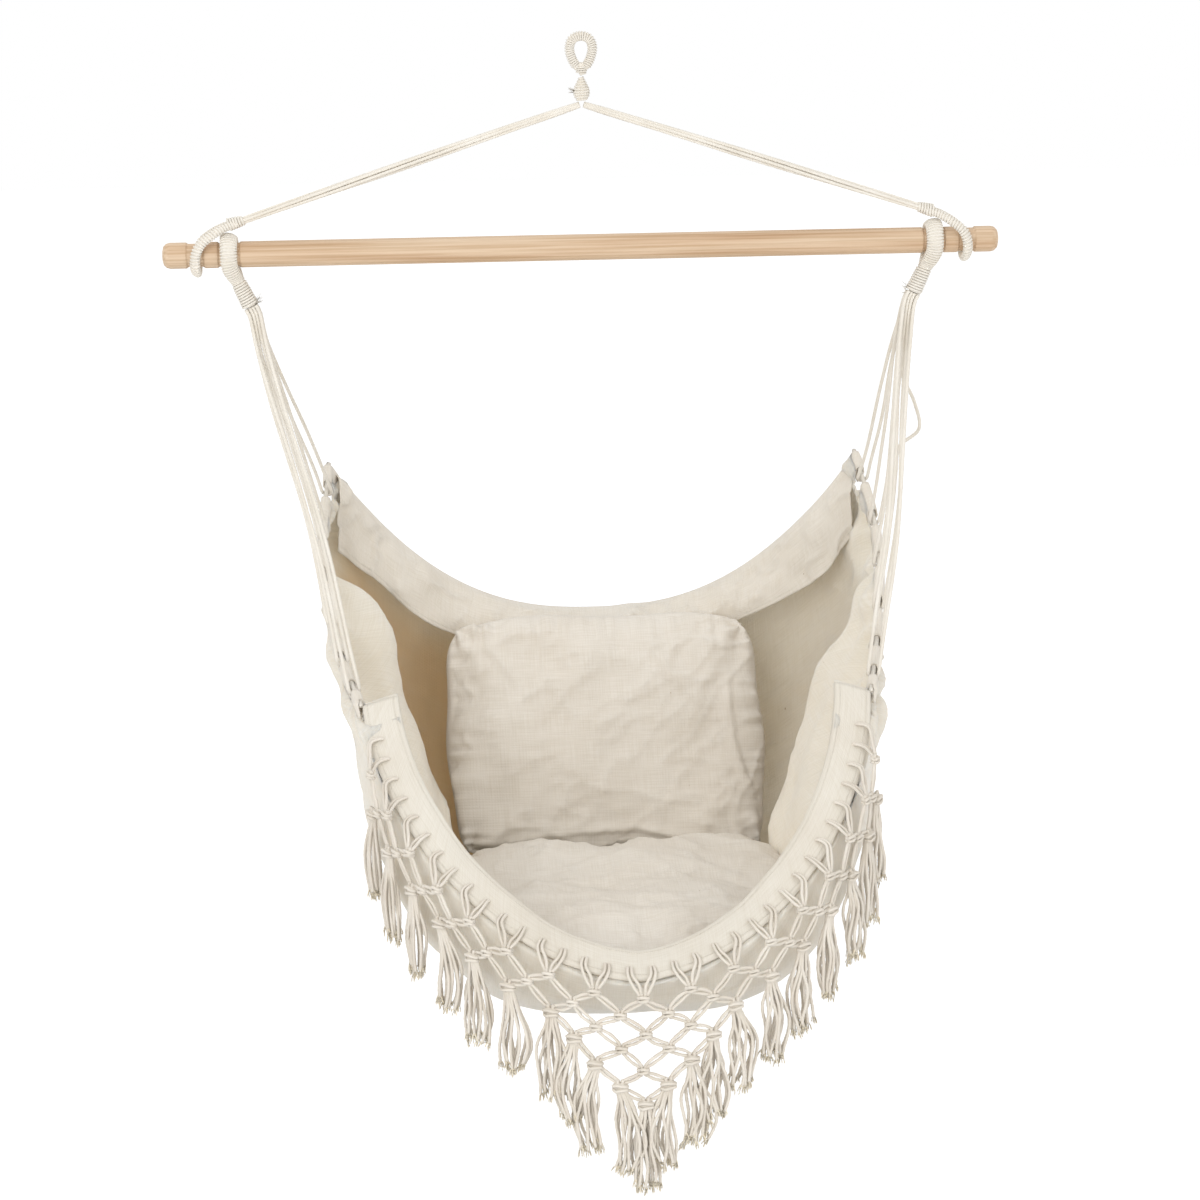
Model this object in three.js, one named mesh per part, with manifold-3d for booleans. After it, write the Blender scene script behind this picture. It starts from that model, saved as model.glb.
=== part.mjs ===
// Hammock chair: a canvas sling with two cushions and a knotted fringe, hung by fans of cord
// from a wooden spreader bar, which hangs by a cord bridle from a wrapped eye.
// Millimetres, +Z up, +X to the right of someone who faces the chair, its front towards -Y.
// The origin is the point inside the eye where a hook bears.
import * as THREE from 'three';
import { LoftGeometry } from 'three/addons/geometries/LoftGeometry.js';
import { mergeVertices } from 'three/addons/utils/BufferGeometryUtils.js';
import Module from 'manifold-3d';

const wasm = await Module();
wasm.setup();

// Clearances
const seatGap = 0.4;
const runningGap = 0.4;
const facetTolerance = 0.06;
const cutOverrun = 10;

// Spreader bar
const barLength = 900;
const barDiameter = 28;
const barEndRounding = 8;
const barDrop = 218;
const grooveDepth = 1.5;
const grooveShoulder = 2;
const grooveMargin = 1;

// Wrapped eye, its hole seen from the front
const eyeHoleWidth = 13;
const eyeHoleHeight = 20;
const eyeCoreDiameter = 7.6;
const eyeNeckLength = 16;
const eyeWhippingDiameter = 1.5;
const eyeWhippingLoops = 11;

// Neck binding under the eye
const neckBindingLength = 27;
const neckBindingDiameter = 20;

// Bridle: a bundle of cords on each side, which ends in a wrapped loop round the bar
const bridleBundleWidth = 11;
const bridleBundleHeight = 8;
const bridleBundleCords = 6;
const bridleLoopMargin = 35;
const bridleLoopWidth = 14;
const bridleLoopThickness = 9.4;
const bridleMeetInset = 44;
const bridleLoopRise = 2;
const bridleMeetRise = 34;

// Suspension loops round the bar, and their necks
const suspensionLoopSpacing = 36;
const suspensionLoopWidth = 19;
const suspensionLoopThickness = 10;
const suspensionNeckDrop = 56;
const suspensionNeckLean = 20;
const suspensionNeckWidth = 14;
const suspensionNeckDepth = 15;
const neckWhippingDiameter = 2.8;
const neckWhippingLoops = 7;

// Suspension cords and the edge cord that they hook round
const suspensionCordDiameter = 3.5;
const suspensionCordPitch = 3.9;
const hookGap = 0.6;
const edgeCordDiameter = 6;
const edgeSteps = 9;
const casingThickness = 3;
const notchLength = 24;
const notchDepth = 14;

// Canvas sling: its corners and middle, measured down from the bar's axis and to the front or back of it
const canvasThickness = 2.4;
const backCornerHalfWidth = 308;
const backCornerDrop = 278;
const backCornerDepth = 184;
const backMiddleDepth = 264;
const frontCornerHalfWidth = 275;
const frontCornerDrop = 462;
const frontCornerReach = 143;
const frontTipReach = 376;
const sideEdgeBulge = 19;
const slingDepth = 816;
const sideFoldHeight = 26;
const sidePocketDepth = 9;

// Front band, a sewn strip that carries the fringe
const bandWidth = 56;
const bandTipWidth = 42;
const bandThickness = 4;
const bandTipSlope = 25;

// Valance, the turned-over top of the canvas
const valanceThickness = 2.4;
const valanceEndDrop = 92;
const valanceMiddleDrop = 3;
const valanceEndReach = 30;
const valanceMiddleReach = 62;

// Cushions: a cover with an envelope opening, and a filling
const backCushionHeight = 278;
const backCushionThickness = 108;
const backCushionDish = 26;
const seatCushionThickness = 110;
const seatCushionTip = 90;
const seatCushionDish = 20;
const cushionDrawIn = 12;
const coverThickness = 3;
const coverSeam = 20;
const envelopeOpening = 200;
const envelopeGap = 3;
const backCushionDepth = 176;
const backCushionLean = 20;
const seatCushionReach = 141;
const seatCushionPitch = 6;

// Fringe: rows of knots under the band, and tassels
const knotRowPitch = 19.5;
const hemKnotDrop = 9;
const cordPairWidth = 6;
const netThickness = 3.2;
const knotWidth = 14;
const knotThickness = 7;
const stapleLength = 20;
const stapleStandOff = 6.2;
const knotStandOff = 4.2;
const tasselLength = 92;
const tasselEndDiameter = 16;

// Sizes that follow from the ones above
const barAxisZ = -barDrop;
const barRadius = barDiameter / 2;
const grooveRadius = barRadius - grooveDepth;
const bridleLoopOffset = barLength / 2 - bridleLoopMargin;
const bridleMeetOffset = bridleLoopOffset - bridleMeetInset;
const suspensionLoopOffset = bridleLoopOffset - suspensionLoopSpacing;
const cushionWidthShare = 0.6764;
const backCushionDropShare = 0.7696;
const seatCushionDropShare = 0.9064;
const cushionSize = cushionWidthShare * 2 * frontCornerHalfWidth;
const backCushionDrop = backCushionDropShare * slingDepth;
const seatCushionDrop = seatCushionDropShare * slingDepth;

const up = new THREE.Vector3(0, 0, 1);
const ahead = new THREE.Vector3(0, -1, 0);
const vector = (x, y, z) => new THREE.Vector3(x, y, z);
const mix = THREE.MathUtils.lerp;
const radians = THREE.MathUtils.degToRad;
const sides = [{ name: 'left', sign: -1 }, { name: 'right', sign: 1 }];

const chair = new THREE.Group();

// Materials
const woodFinish = { color: 0xe6cdb0, roughness: 0.6, metalness: 0 };
const cordFinish = { color: 0xe9e2d2, roughness: 0.95, metalness: 0 };
const canvasFinish = { color: 0xe2dac8, roughness: 0.92, metalness: 0 };
const fillingFinish = { color: 0xf5f5f2, roughness: 1, metalness: 0 };

function add(name, geometry, finish, parent = chair) {
  const mesh = new THREE.Mesh(geometry, new THREE.MeshStandardMaterial(finish));
  mesh.name = name;
  parent.add(mesh);
  return mesh;
}

// Six times the volume that a geometry's triangles enclose; negative when they face inwards.
function signedVolume(geometry) {
  const flat = geometry.index ? geometry.toNonIndexed() : geometry;
  const place = flat.getAttribute('position');
  let total = 0;
  for (let i = 0; i < place.count; i += 3) {
    const [a, b, c] = [0, 1, 2].map((k) => vector().fromBufferAttribute(place, i + k));
    total += a.dot(b.cross(c));
  }
  return total;
}

// A closed loft through rings of points, its faces turned outwards.
function loft(rings) {
  const ends = { capStart: true, capEnd: true };
  const geometry = new LoftGeometry(rings, ends);
  if (signedVolume(geometry) > 0) return geometry;
  return new LoftGeometry(rings.map((ring) => [...ring].reverse()), ends);
}

function solidOf(geometry) {
  const bare = new THREE.BufferGeometry().setAttribute('position', geometry.getAttribute('position'));
  if (geometry.index) bare.setIndex(geometry.index);
  const merged = mergeVertices(bare, seatGap / 300);
  const corners = [];
  for (let i = 0; i < merged.index.count; i += 3) {
    const [a, b, c] = [0, 1, 2].map((k) => merged.index.getX(i + k));
    if (a !== b && b !== c && c !== a) corners.push(a, b, c);
  }
  return new wasm.Manifold(new wasm.Mesh({
    numProp: 3,
    vertProperties: merged.getAttribute('position').array,
    triVerts: new Uint32Array(corners),
  }));
}

function geometryOf(solid) {
  const mesh = solid.getMesh();
  const geometry = new THREE.BufferGeometry();
  geometry.setAttribute('position', new THREE.BufferAttribute(mesh.vertProperties, 3));
  geometry.setIndex(new THREE.BufferAttribute(mesh.triVerts, 1));
  return geometry;
}

function joined(...geometries) {
  return geometries.map(solidOf).reduce((whole, piece) => whole.add(piece));
}

// An oval ring square to a direction, its first half-size along the given side of it.
function ovalRing(centre, direction, side, halfSide, halfOther, count) {
  const other = direction.clone().cross(side).normalize();
  const across = other.clone().cross(direction).normalize();
  return Array.from({ length: count }, (_, i) => {
    const angle = (2 * Math.PI * (i + 0.5)) / count;
    return centre.clone()
      .addScaledVector(across, halfSide * Math.cos(angle))
      .addScaledVector(other, halfOther * Math.sin(angle));
  });
}

// A round cord through points, each ring square to the cord and turned as little as possible.
function cordThrough(points, diameter, count = 8) {
  const directions = points.map((_, i) => {
    const after = points[Math.min(i + 1, points.length - 1)];
    return after.clone().sub(points[Math.max(i - 1, 0)]).normalize();
  });
  let side = Math.abs(directions[0].z) < 0.9 ? up.clone() : vector(1, 0, 0);
  const rings = points.map((point, i) => {
    side.addScaledVector(directions[i], -side.dot(directions[i])).normalize();
    return ovalRing(point, directions[i], side, diameter / 2, diameter / 2, count);
  });
  return loft(rings);
}

// The least gap between the turns of a wound cord, measured on its points.
function leastGap(points, stepsPerLoop, diameter) {
  let least = Infinity;
  points.forEach((a, i) => {
    points.slice(i + Math.ceil(stepsPerLoop / 2)).forEach((b) => {
      least = Math.min(least, a.distanceTo(b) - diameter);
    });
  });
  return least;
}

// Straight ends, one cord diameter long, on a wound cord's points.
function withStraightEnds(points, diameter) {
  const first = points[0].clone().sub(points[1]).setLength(diameter).add(points[0]);
  const last = points.at(-1).clone().sub(points.at(-2)).setLength(diameter).add(points.at(-1));
  return [first, ...points, last];
}

// A spreader bar turned from a dowel, with a groove for each of its four loops.
function spreaderBar() {
  const bridleHalf = bridleLoopWidth / 2 + grooveMargin;
  const suspensionHalf = suspensionLoopWidth / 2 + grooveMargin;
  const half = [new THREE.Vector2(0, -barLength / 2)];
  const roundingSteps = 3;
  for (let i = 0; i <= roundingSteps; i++) {
    const angle = (Math.PI / 2) * (i / roundingSteps);
    half.push(new THREE.Vector2(
      barRadius - barEndRounding * (1 - Math.sin(angle)),
      -barLength / 2 + barEndRounding * (1 - Math.cos(angle)),
    ));
  }
  for (const [place, reach] of [[bridleLoopOffset, bridleHalf], [suspensionLoopOffset, suspensionHalf]]) {
    half.push(new THREE.Vector2(barRadius, -place - reach - grooveShoulder));
    half.push(new THREE.Vector2(grooveRadius, -place - reach));
    half.push(new THREE.Vector2(grooveRadius, -place + reach));
    half.push(new THREE.Vector2(barRadius, -place + reach + grooveShoulder));
  }
  const otherHalf = half.map((point) => new THREE.Vector2(point.x, -point.y)).reverse();
  const facets = 24;
  const bar = new THREE.LatheGeometry([...half, ...otherHalf], facets);
  const mesh = add('spreader_bar', bar, woodFinish);
  mesh.position.z = barAxisZ;
  mesh.rotation.z = -Math.PI / 2;
}

// Half of the wrapped eye's centre line, from its neck to its top, in the plane of the hole.
const eyeRopeRadius = eyeCoreDiameter / 2 + seatGap + eyeWhippingDiameter;
const eyeSideX = eyeHoleWidth / 2 + eyeRopeRadius;
const eyeTopZ = eyeRopeRadius;
const eyeHoleBottomZ = -eyeHoleHeight;
const eyeMiddleShare = 0.35;
const eyeMiddleZ = -eyeMiddleShare * eyeHoleHeight;

function eyeCentreLine() {
  const neckX = eyeCoreDiameter / 2;
  const shoulderShare = 0.72;
  const shoulderRiseShare = 0.45;
  const right = [
    vector(neckX, 0, eyeHoleBottomZ - eyeCoreDiameter),
    vector(shoulderShare * eyeSideX, 0, eyeHoleBottomZ),
    vector(eyeSideX, 0, eyeMiddleZ),
    vector(shoulderShare * eyeSideX, 0, shoulderRiseShare * eyeTopZ),
  ];
  const left = right.map((point) => vector(-point.x, 0, point.z)).reverse();
  return new THREE.CatmullRomCurve3([...right, vector(0, 0, eyeTopZ), ...left]);
}

const neckPivotZ = eyeHoleBottomZ - eyeNeckLength;

// The strands inside the eye: an oval loop whose legs run together into a rounded neck.
function eyeCore() {
  const line = eyeCentreLine();
  const steps = 18;
  const points = line.getSpacedPoints(steps);
  const rightHalf = points.slice(0, steps / 2 + 1);
  const leftHalf = points.slice(steps / 2);
  const neckHalfShare = 0.62;
  const neckHalf = eyeCoreDiameter * neckHalfShare;
  const neckTop = vector(0, 0, eyeHoleBottomZ - eyeCoreDiameter / 2);
  const neckShares = [[0, 1.45], [0.35, 1.15], [0.7, 0.86], [0.9, 0.6], [1, 0.2]];
  const facets = 10;
  const neckRings = neckShares.map(([down, size]) => ovalRing(
    vector(0, 0, mix(neckTop.z, neckPivotZ + seatGap / 2, down)),
    vector(0, 0, -1), vector(1, 0, 0), neckHalf * size, Math.min(neckHalf * size, neckHalf), facets,
  ));
  const core = joined(
    cordThrough(rightHalf, eyeCoreDiameter), cordThrough(leftHalf, eyeCoreDiameter), loft(neckRings),
  );
  add('eye_core', geometryOf(core), cordFinish);
}

// The cord wound round the eye, one unbroken helix about its centre line.
function eyeWhipping() {
  const line = eyeCentreLine();
  const stepsPerLoop = 8;
  const startShare = 0.155;
  const steps = eyeWhippingLoops * stepsPerLoop;
  const reach = eyeCoreDiameter / 2 + seatGap + eyeWhippingDiameter / 2;
  const cornerAllowance = reach * (1 / Math.cos(Math.PI / stepsPerLoop) - 1);
  const points = Array.from({ length: steps + 1 }, (_, i) => {
    const share = mix(startShare, 1 - startShare, i / steps);
    const centre = line.getPointAt(share);
    const inPlane = line.getTangentAt(share).cross(ahead).normalize();
    const angle = (2 * Math.PI * i) / stepsPerLoop;
    return centre
      .addScaledVector(inPlane, (reach + cornerAllowance) * Math.cos(angle))
      .addScaledVector(ahead, (reach + cornerAllowance) * Math.sin(angle));
  });
  const gap = leastGap(points, stepsPerLoop, eyeWhippingDiameter);
  console.log(`eye whipping: ${eyeWhippingLoops} loops, least gap to itself ${gap.toFixed(2)} mm`);
  const cord = cordThrough(withStraightEnds(points, eyeWhippingDiameter), eyeWhippingDiameter, 5);
  add('eye_whipping', cord, cordFinish);
}

// The binding that gathers the bridle's cords under the eye: a barrel with domed ends.
const bindingTopZ = neckPivotZ - seatGap / 2;
const bindingBottomZ = bindingTopZ - neckBindingLength;

function neckBinding() {
  const radius = neckBindingDiameter / 2;
  const profileShares = [
    [0, 0], [0.32, 0.03], [0.52, 0.14], [0.72, 0.34], [0.95, 0.52],
    [1, 0.68], [0.9, 0.84], [0.62, 0.95], [0.3, 0.985], [0, 1],
  ];
  const profile = profileShares.map(
    ([out, down]) => new THREE.Vector2(out * radius, bindingTopZ - down * neckBindingLength),
  ).reverse();
  const facets = 16;
  const mesh = add('neck_binding', new THREE.LatheGeometry(profile, facets), cordFinish);
  mesh.rotation.x = Math.PI / 2;
}

// One side of the bridle: parallel cords held as a lobed bundle, from the neck out to the wrapped loop.
const bridleTiltZ = bindingBottomZ;

function bridleBundle(side) {
  const halfHeight = bridleBundleHeight / 2;
  const startOutShare = 0.5;
  const startDownShare = 0.77;
  const inner = vector(
    side.sign * (seatGap / 2 + halfHeight * startOutShare), 0, bridleTiltZ - startDownShare * halfHeight,
  );
  const outer = vector(side.sign * bridleMeetOffset, 0, barAxisZ + bridleMeetRise);
  const along = outer.clone().sub(inner).normalize();
  outer.addScaledVector(along, -2 * seatGap);
  const pointsPerCord = 4;
  const count = bridleBundleCords * pointsPerCord;
  const spreadShares = [[0, 0.8], [0.04, 1], [0.5, 1.12], [0.96, 1], [1, 0.9]];
  const lobeShare = 0.13;
  const rings = spreadShares.map(([share, spread]) => {
    const centre = inner.clone().lerp(outer, share);
    const ring = ovalRing(centre, along, vector(0, 1, 0), 1, 1, count);
    const other = along.clone().cross(vector(0, 1, 0)).normalize();
    return ring.map((_, i) => {
      const angle = (2 * Math.PI * i) / count;
      const lobe = spread * (1 - lobeShare + lobeShare * Math.abs(Math.cos((bridleBundleCords / 2) * angle)));
      return centre.clone()
        .addScaledVector(vector(0, 1, 0), (bridleBundleWidth / 2) * lobe * Math.cos(angle))
        .addScaledVector(other, halfHeight * lobe * Math.sin(angle));
    });
  });
  add(`bridle_cords_${side.name}`, loft(rings), cordFinish);
}

// A wrapped loop: it leaves the bundle, passes over the suspension loop and rounds the bar in its groove.
function bridleLoop(side) {
  const halfThickness = bridleLoopThickness / 2;
  const halfStepShare = 0.0944;
  const ringRadius = (grooveRadius + runningGap) / Math.cos(Math.PI * halfStepShare) + halfThickness;
  const overRadius = bridleMeetRise - bridleLoopRise;
  // Outwards to the ring, in to its radius, half a turn round the bar, and width
  const legShares = [
    [0, 0, 0.033, 0.7], [0.24, 0.1, 0.067, 0.72], [0.56, 0.42, 0.161, 0.78], [0.86, 0.8, 0.294, 0.9],
    [0.97, 1, 0.456, 0.98], [1, 1, 0.633, 1], [1, 1, 0.822, 1], [1, 1, 1.022, 1],
  ];
  const facets = 8;
  const legs = [-1, 1].map((face) => {
    const points = legShares.map(([outwards, inwards, turn]) => {
      const radius = mix(overRadius, ringRadius, inwards);
      const angle = Math.PI * turn;
      const x = mix(bridleMeetOffset, bridleLoopOffset, outwards);
      return vector(
        side.sign * x, face * radius * Math.sin(angle), barAxisZ + radius * Math.cos(angle),
      );
    });
    const rings = points.map((point, i) => {
      const before = points[Math.max(i - 1, 0)];
      const after = points[Math.min(i + 1, points.length - 1)];
      const direction = after.clone().sub(before);
      if (i === points.length - 1) direction.set(0, -face, 0);
      direction.normalize();
      const outward = vector(0, point.y, point.z - barAxisZ).normalize();
      const halfWidth = (bridleLoopWidth / 2) * legShares[i][3];
      return ovalRing(point, direction, outward, halfThickness, halfWidth, facets);
    });
    return loft(rings);
  });
  add(`bridle_loop_${side.name}`, geometryOf(joined(...legs)), cordFinish);
}

// A suspension loop: a teardrop of gathered cords that hangs in its groove and closes into a neck.
const loopStepShare = 1 / 6;
const sagittaShare = 0.6;
const suspensionInnerRadius = (grooveRadius + runningGap) / Math.cos(Math.PI * loopStepShare * sagittaShare);
const suspensionRadius = suspensionInnerRadius + suspensionLoopThickness / 2;

function neckPoint(side, drop) {
  const lean = (suspensionNeckLean * Math.max(0, drop - grooveRadius)) / (suspensionNeckDrop - grooveRadius);
  return vector(side.sign * (suspensionLoopOffset - lean), 0, barAxisZ - drop);
}

function neckDirection(side) {
  return neckPoint(side, suspensionNeckDrop).sub(neckPoint(side, grooveRadius)).normalize();
}

function suspensionLoop(side) {
  const turnShares = [-0.15, 1, 2, 3, 4].map((steps) => steps * loopStepShare);
  const legShares = [[0.35, 0.55], [0.46, 1], [0.7, 1], [1, 1]];
  const legSpreadShare = 0.19;
  const legDepthShare = 0.6;
  const legSpread = legSpreadShare * suspensionNeckDepth;
  const facets = 10;
  const legs = [-1, 1].map((face) => {
    const round = turnShares.map((turn) => vector(
      side.sign * suspensionLoopOffset,
      face * suspensionRadius * Math.sin(Math.PI * turn),
      barAxisZ + suspensionRadius * Math.cos(Math.PI * turn),
    ));
    const straight = legShares.map(([down, inwards]) => {
      const point = neckPoint(side, down * suspensionNeckDrop);
      point.y = face * mix(suspensionRadius, legSpread, inwards);
      return point;
    });
    const points = [...round, ...straight];
    const rings = points.map((point, i) => {
      const direction = points[Math.min(i + 1, points.length - 1)].clone().sub(points[Math.max(i - 1, 0)]);
      if (i === 0) direction.set(0, face, 0);
      if (i === points.length - 1) direction.copy(neckDirection(side));
      direction.normalize();
      const turn = Math.min(1, Math.max(0, (i - 3) / 3));
      const halfWide = mix(suspensionLoopWidth, suspensionNeckWidth, turn) / 2;
      const halfThick = mix(suspensionLoopThickness, legDepthShare * suspensionNeckDepth, turn) / 2;
      return ovalRing(point, direction, vector(1, 0, 0), halfWide, halfThick, facets);
    });
    return loft(rings);
  });
  add(`suspension_loop_${side.name}`, geometryOf(joined(...legs)), cordFinish);
}

// The cord wound round a suspension loop's neck.
function neckWhipping(side) {
  const stepsPerLoop = 8;
  const steps = neckWhippingLoops * stepsPerLoop;
  const pitchShare = 1.25;
  const pitch = neckWhippingDiameter * pitchShare;
  const bottomDrop = suspensionNeckDrop - neckWhippingDiameter;
  const direction = neckDirection(side);
  const reach = suspensionNeckDepth / 2 + 2 * seatGap + neckWhippingDiameter / 2;
  const cornerReach = reach / Math.cos(Math.PI / stepsPerLoop);
  const across = direction.clone().cross(ahead).normalize();
  const points = Array.from({ length: steps + 1 }, (_, i) => {
    const centre = neckPoint(side, bottomDrop).addScaledVector(direction, -(i / stepsPerLoop) * pitch);
    const angle = side.sign * (2 * Math.PI * i) / stepsPerLoop;
    return centre
      .addScaledVector(across, cornerReach * Math.cos(angle))
      .addScaledVector(ahead, cornerReach * Math.sin(angle));
  });
  const gap = leastGap(points, stepsPerLoop, neckWhippingDiameter);
  console.log(`${side.name} neck whipping: ${neckWhippingLoops} loops, least gap ${gap.toFixed(2)} mm`);
  const cord = cordThrough(withStraightEnds(points, neckWhippingDiameter), neckWhippingDiameter, 5);
  add(`suspension_whipping_${side.name}`, cord, cordFinish);
}

// The sling's side edge, from the back corner to the front corner of its right side.
const edgeShares = [[0, 0, 0], [0.26, 0.42, 1], [0.63, 0.83, 0.7], [1, 1, 0]];
const edgeCurve = new THREE.CatmullRomCurve3(edgeShares.map(([forward, down, bulge]) => vector(
  mix(backCornerHalfWidth, frontCornerHalfWidth, forward) + sideEdgeBulge * bulge,
  mix(backCornerDepth, -frontCornerReach, forward),
  barAxisZ - mix(backCornerDrop, frontCornerDrop, down),
)));

function edgePoint(side, share) {
  const point = edgeCurve.getPointAt(share);
  point.x *= side.sign;
  return point;
}

function edgeDirection(side, share) {
  const direction = edgeCurve.getTangentAt(share);
  direction.x *= side.sign;
  return direction;
}

// The sling's middle line, from the top of its back, down under the seat and up to the front edge.
const middleShares = [
  [0, 0.59], [-0.024, 0.687], [0.024, 0.81], [0.133, 0.914], [0.32, 0.981],
  [0.54, 1], [0.76, 0.972], [0.915, 0.91], [1, 0.854],
];
const middleCurve = new THREE.CatmullRomCurve3(middleShares.map(([forward, down]) => vector(
  0, mix(backMiddleDepth, -frontTipReach, forward), barAxisZ - down * slingDepth,
)));

// How far a cross-section has come down from the side edges to the middle, a share across it.
const crestShares = [[0, 2.5, 1], [0.2, 3.4, 0.55], [0.8, 3.3, 0.52], [1, 1.75, 0.571]];

function sectionDrop(across, along) {
  const next = crestShares.findIndex(([share]) => share >= along);
  const [lower, upper] = [crestShares[Math.max(next - 1, 0)], crestShares[Math.max(next, 1)]];
  const part = (along - lower[0]) / (upper[0] - lower[0] || 1);
  const power = mix(lower[1], upper[1], part);
  const root = mix(lower[2], upper[2], part);
  return Math.pow(Math.max(0, 1 - Math.pow(Math.abs(across), power)), root);
}

// The canvas hangs in one soft fold on each side, between the cords' edge and the cushions: a ridge that
// leans in, and a shallow pocket behind it. The left fold starts far back and runs forward as it comes
// down, the right one stands nearly upright behind the front corner.
const foldShares = { left: { place: 0.32, slant: 0.5 }, right: { place: 0.62, slant: 0.12 } };
const foldSpanShares = [0.02, 0.17, 0.32, 0.52];
const foldWidthShare = 0.1;

function foldRise(angleShare, along) {
  const fold = angleShare < 0 ? foldShares.left : foldShares.right;
  const fromEdge = 1 - Math.abs(angleShare);
  const ridge = fold.place + fold.slant * fromEdge;
  const swell = (place) => Math.exp(-Math.pow((along - place) / foldWidthShare, 2));
  const [outer, outerFull, innerFull, inner] = foldSpanShares;
  const { smoothstep } = THREE.MathUtils;
  const reach = smoothstep(fromEdge, outer, outerFull) * (1 - smoothstep(fromEdge, innerFull, inner));
  return reach * (sideFoldHeight * swell(ridge) - sidePocketDepth * swell(ridge - 2 * foldWidthShare));
}

function slingPoint(angleShare, along) {
  const across = Math.sin((Math.PI / 2) * angleShare);
  const edge = edgeCurve.getPointAt(along);
  const middle = middleCurve.getPoint(along);
  const drop = sectionDrop(across, along);
  const point = vector(across * edge.x, mix(edge.y, middle.y, drop), mix(edge.z, middle.z, drop));
  const inward = vector(0, point.y, edge.z).sub(point).normalize();
  return point.addScaledVector(inward, foldRise(angleShare, along));
}

// The rim strip that the front band covers, from the outer edge of the band in to the seat's rim.
const rimSlope = radians(bandTipSlope);
const rimCornerShares = [-0.7, 0.06, 0.2];
const rimCorner = edgeCurve.getPointAt(1).add(vector(...rimCornerShares.map((share) => share * bandWidth)));
const rimTip = middleCurve.getPoint(1).add(
  vector(0, bandTipWidth * Math.cos(rimSlope), bandTipWidth * Math.sin(rimSlope)),
);

function rimPoint(angleShare, inward) {
  const across = Math.sin((Math.PI / 2) * angleShare);
  const drop = sectionDrop(across, 1);
  const inner = rimCorner.clone().lerp(rimTip, drop).setX(across * rimCorner.x);
  return slingPoint(angleShare, 1).lerp(inner, inward);
}

function shareRow(steps, from = 0, to = 1) {
  return Array.from({ length: steps + 1 }, (_, i) => mix(from, to, i / steps));
}

// One ring of a thick sheet: its outer face, round its side edge, its inner face and round the other
// edge. Where the hem's radius is more than half the thickness, the edge swells into a casing.
function sheetRing(row, normals, half, hemRadius) {
  const last = row.length - 1;
  const hemAngles = [108, 36, -36, -108].map(radians);
  const radius = Math.max(hemRadius, half);
  const setBack = Math.sqrt(radius * radius - half * half);
  const outwardAt = (k) => row[k].clone().sub(row[k === 0 ? 1 : last - 1]).normalize();
  const faceOf = (sign) => row.map((point, k) => {
    const place = point.clone().addScaledVector(normals[k], sign * half);
    return k === 0 || k === last ? place.addScaledVector(outwardAt(k), -setBack) : place;
  });
  const hemAt = (k) => hemAngles.map((angle) => row[k].clone()
    .addScaledVector(outwardAt(k), radius * Math.cos(angle))
    .addScaledVector(normals[k], radius * Math.sin(angle)));
  return [...faceOf(1), ...hemAt(last), ...faceOf(-1).reverse(), ...hemAt(0).reverse()];
}

// A skin through closed rings. Each of its four-sided facets is split along the shorter diagonal, so that
// the two faces of a thin sheet bend along the same lines and its thickness stays even in a fold.
function evenLoft(rings) {
  const count = rings[0].length;
  const corners = [];
  rings.slice(1).forEach((next, i) => rings[i].forEach((point, k) => {
    const beside = (k + 1) % count;
    const [here, after] = [i * count, (i + 1) * count];
    const [a, b, c, d] = [here + k, here + beside, after + beside, after + k];
    const straight = point.distanceTo(next[beside]) < rings[i][beside].distanceTo(next[k]);
    corners.push(...(straight ? [a, b, c, a, c, d] : [a, b, d, b, c, d]));
  }));
  const geometry = new THREE.BufferGeometry().setFromPoints(rings.flat());
  geometry.setIndex(corners);
  return geometry;
}

// A thick sheet from rows of points on its middle surface, its first and last rows closed to an edge.
function sheetSolid(rows, thickness, offset = 0, hemRadii = rows.map(() => 0)) {
  const normals = rows.map((row, i) => row.map((_, k) => {
    const along = rows[Math.min(i + 1, rows.length - 1)][k].clone().sub(rows[Math.max(i - 1, 0)][k]);
    const across = row[Math.min(k + 1, row.length - 1)].clone().sub(row[Math.max(k - 1, 0)]);
    return along.cross(across).normalize();
  }));
  const shift = (point, normal) => point.clone().addScaledVector(normal, offset);
  const moved = rows.map((row, i) => row.map((point, k) => shift(point, normals[i][k])));
  const half = thickness / 2;
  const edgeShare = 0.06;
  const inset = (row, next) => row.map((point, k) => point.clone().lerp(next[k], edgeShare));
  const rings = moved.map((row, i) => sheetRing(row, normals[i], half, hemRadii[i]));
  const end = rings.length - 1;
  rings[0] = sheetRing(inset(moved[0], moved[1]), normals[0], half, hemRadii[0]);
  rings[end] = sheetRing(inset(moved[end], moved[end - 1]), normals[end], half, hemRadii[end]);
  rings.unshift(sheetRing(moved[0], normals[0], 0, 0));
  rings.push(sheetRing(moved[end], normals[end], 0, 0));
  const geometry = evenLoft(rings);
  if (signedVolume(geometry) > 0) return solidOf(geometry);
  return solidOf(evenLoft(rings.map((ring) => [...ring].reverse())));
}

const acrossSteps = 14;
const slingRows = [
  ...shareRow(edgeSteps).map((along) => shareRow(acrossSteps, -1, 1).map((angle) => slingPoint(angle, along))),
  shareRow(acrossSteps, -1, 1).map((angle) => rimPoint(angle, 1)),
];

const casingFacets = 5;
const channelRadius = edgeCordDiameter / 2 + runningGap;
const casingRadius = channelRadius + casingThickness;
const slingHems = slingRows.map((_, i) => (i < slingRows.length - 1 ? casingRadius : 0));

// The cords hook round the edge cord at these shares of the side edge, each in a notch of the casing.
const hookShares = [0.085, 0.24, 0.4, 0.57, 0.75, 0.915];
const hookReach = edgeCordDiameter / 2 + hookGap + suspensionCordDiameter / 2;

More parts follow.
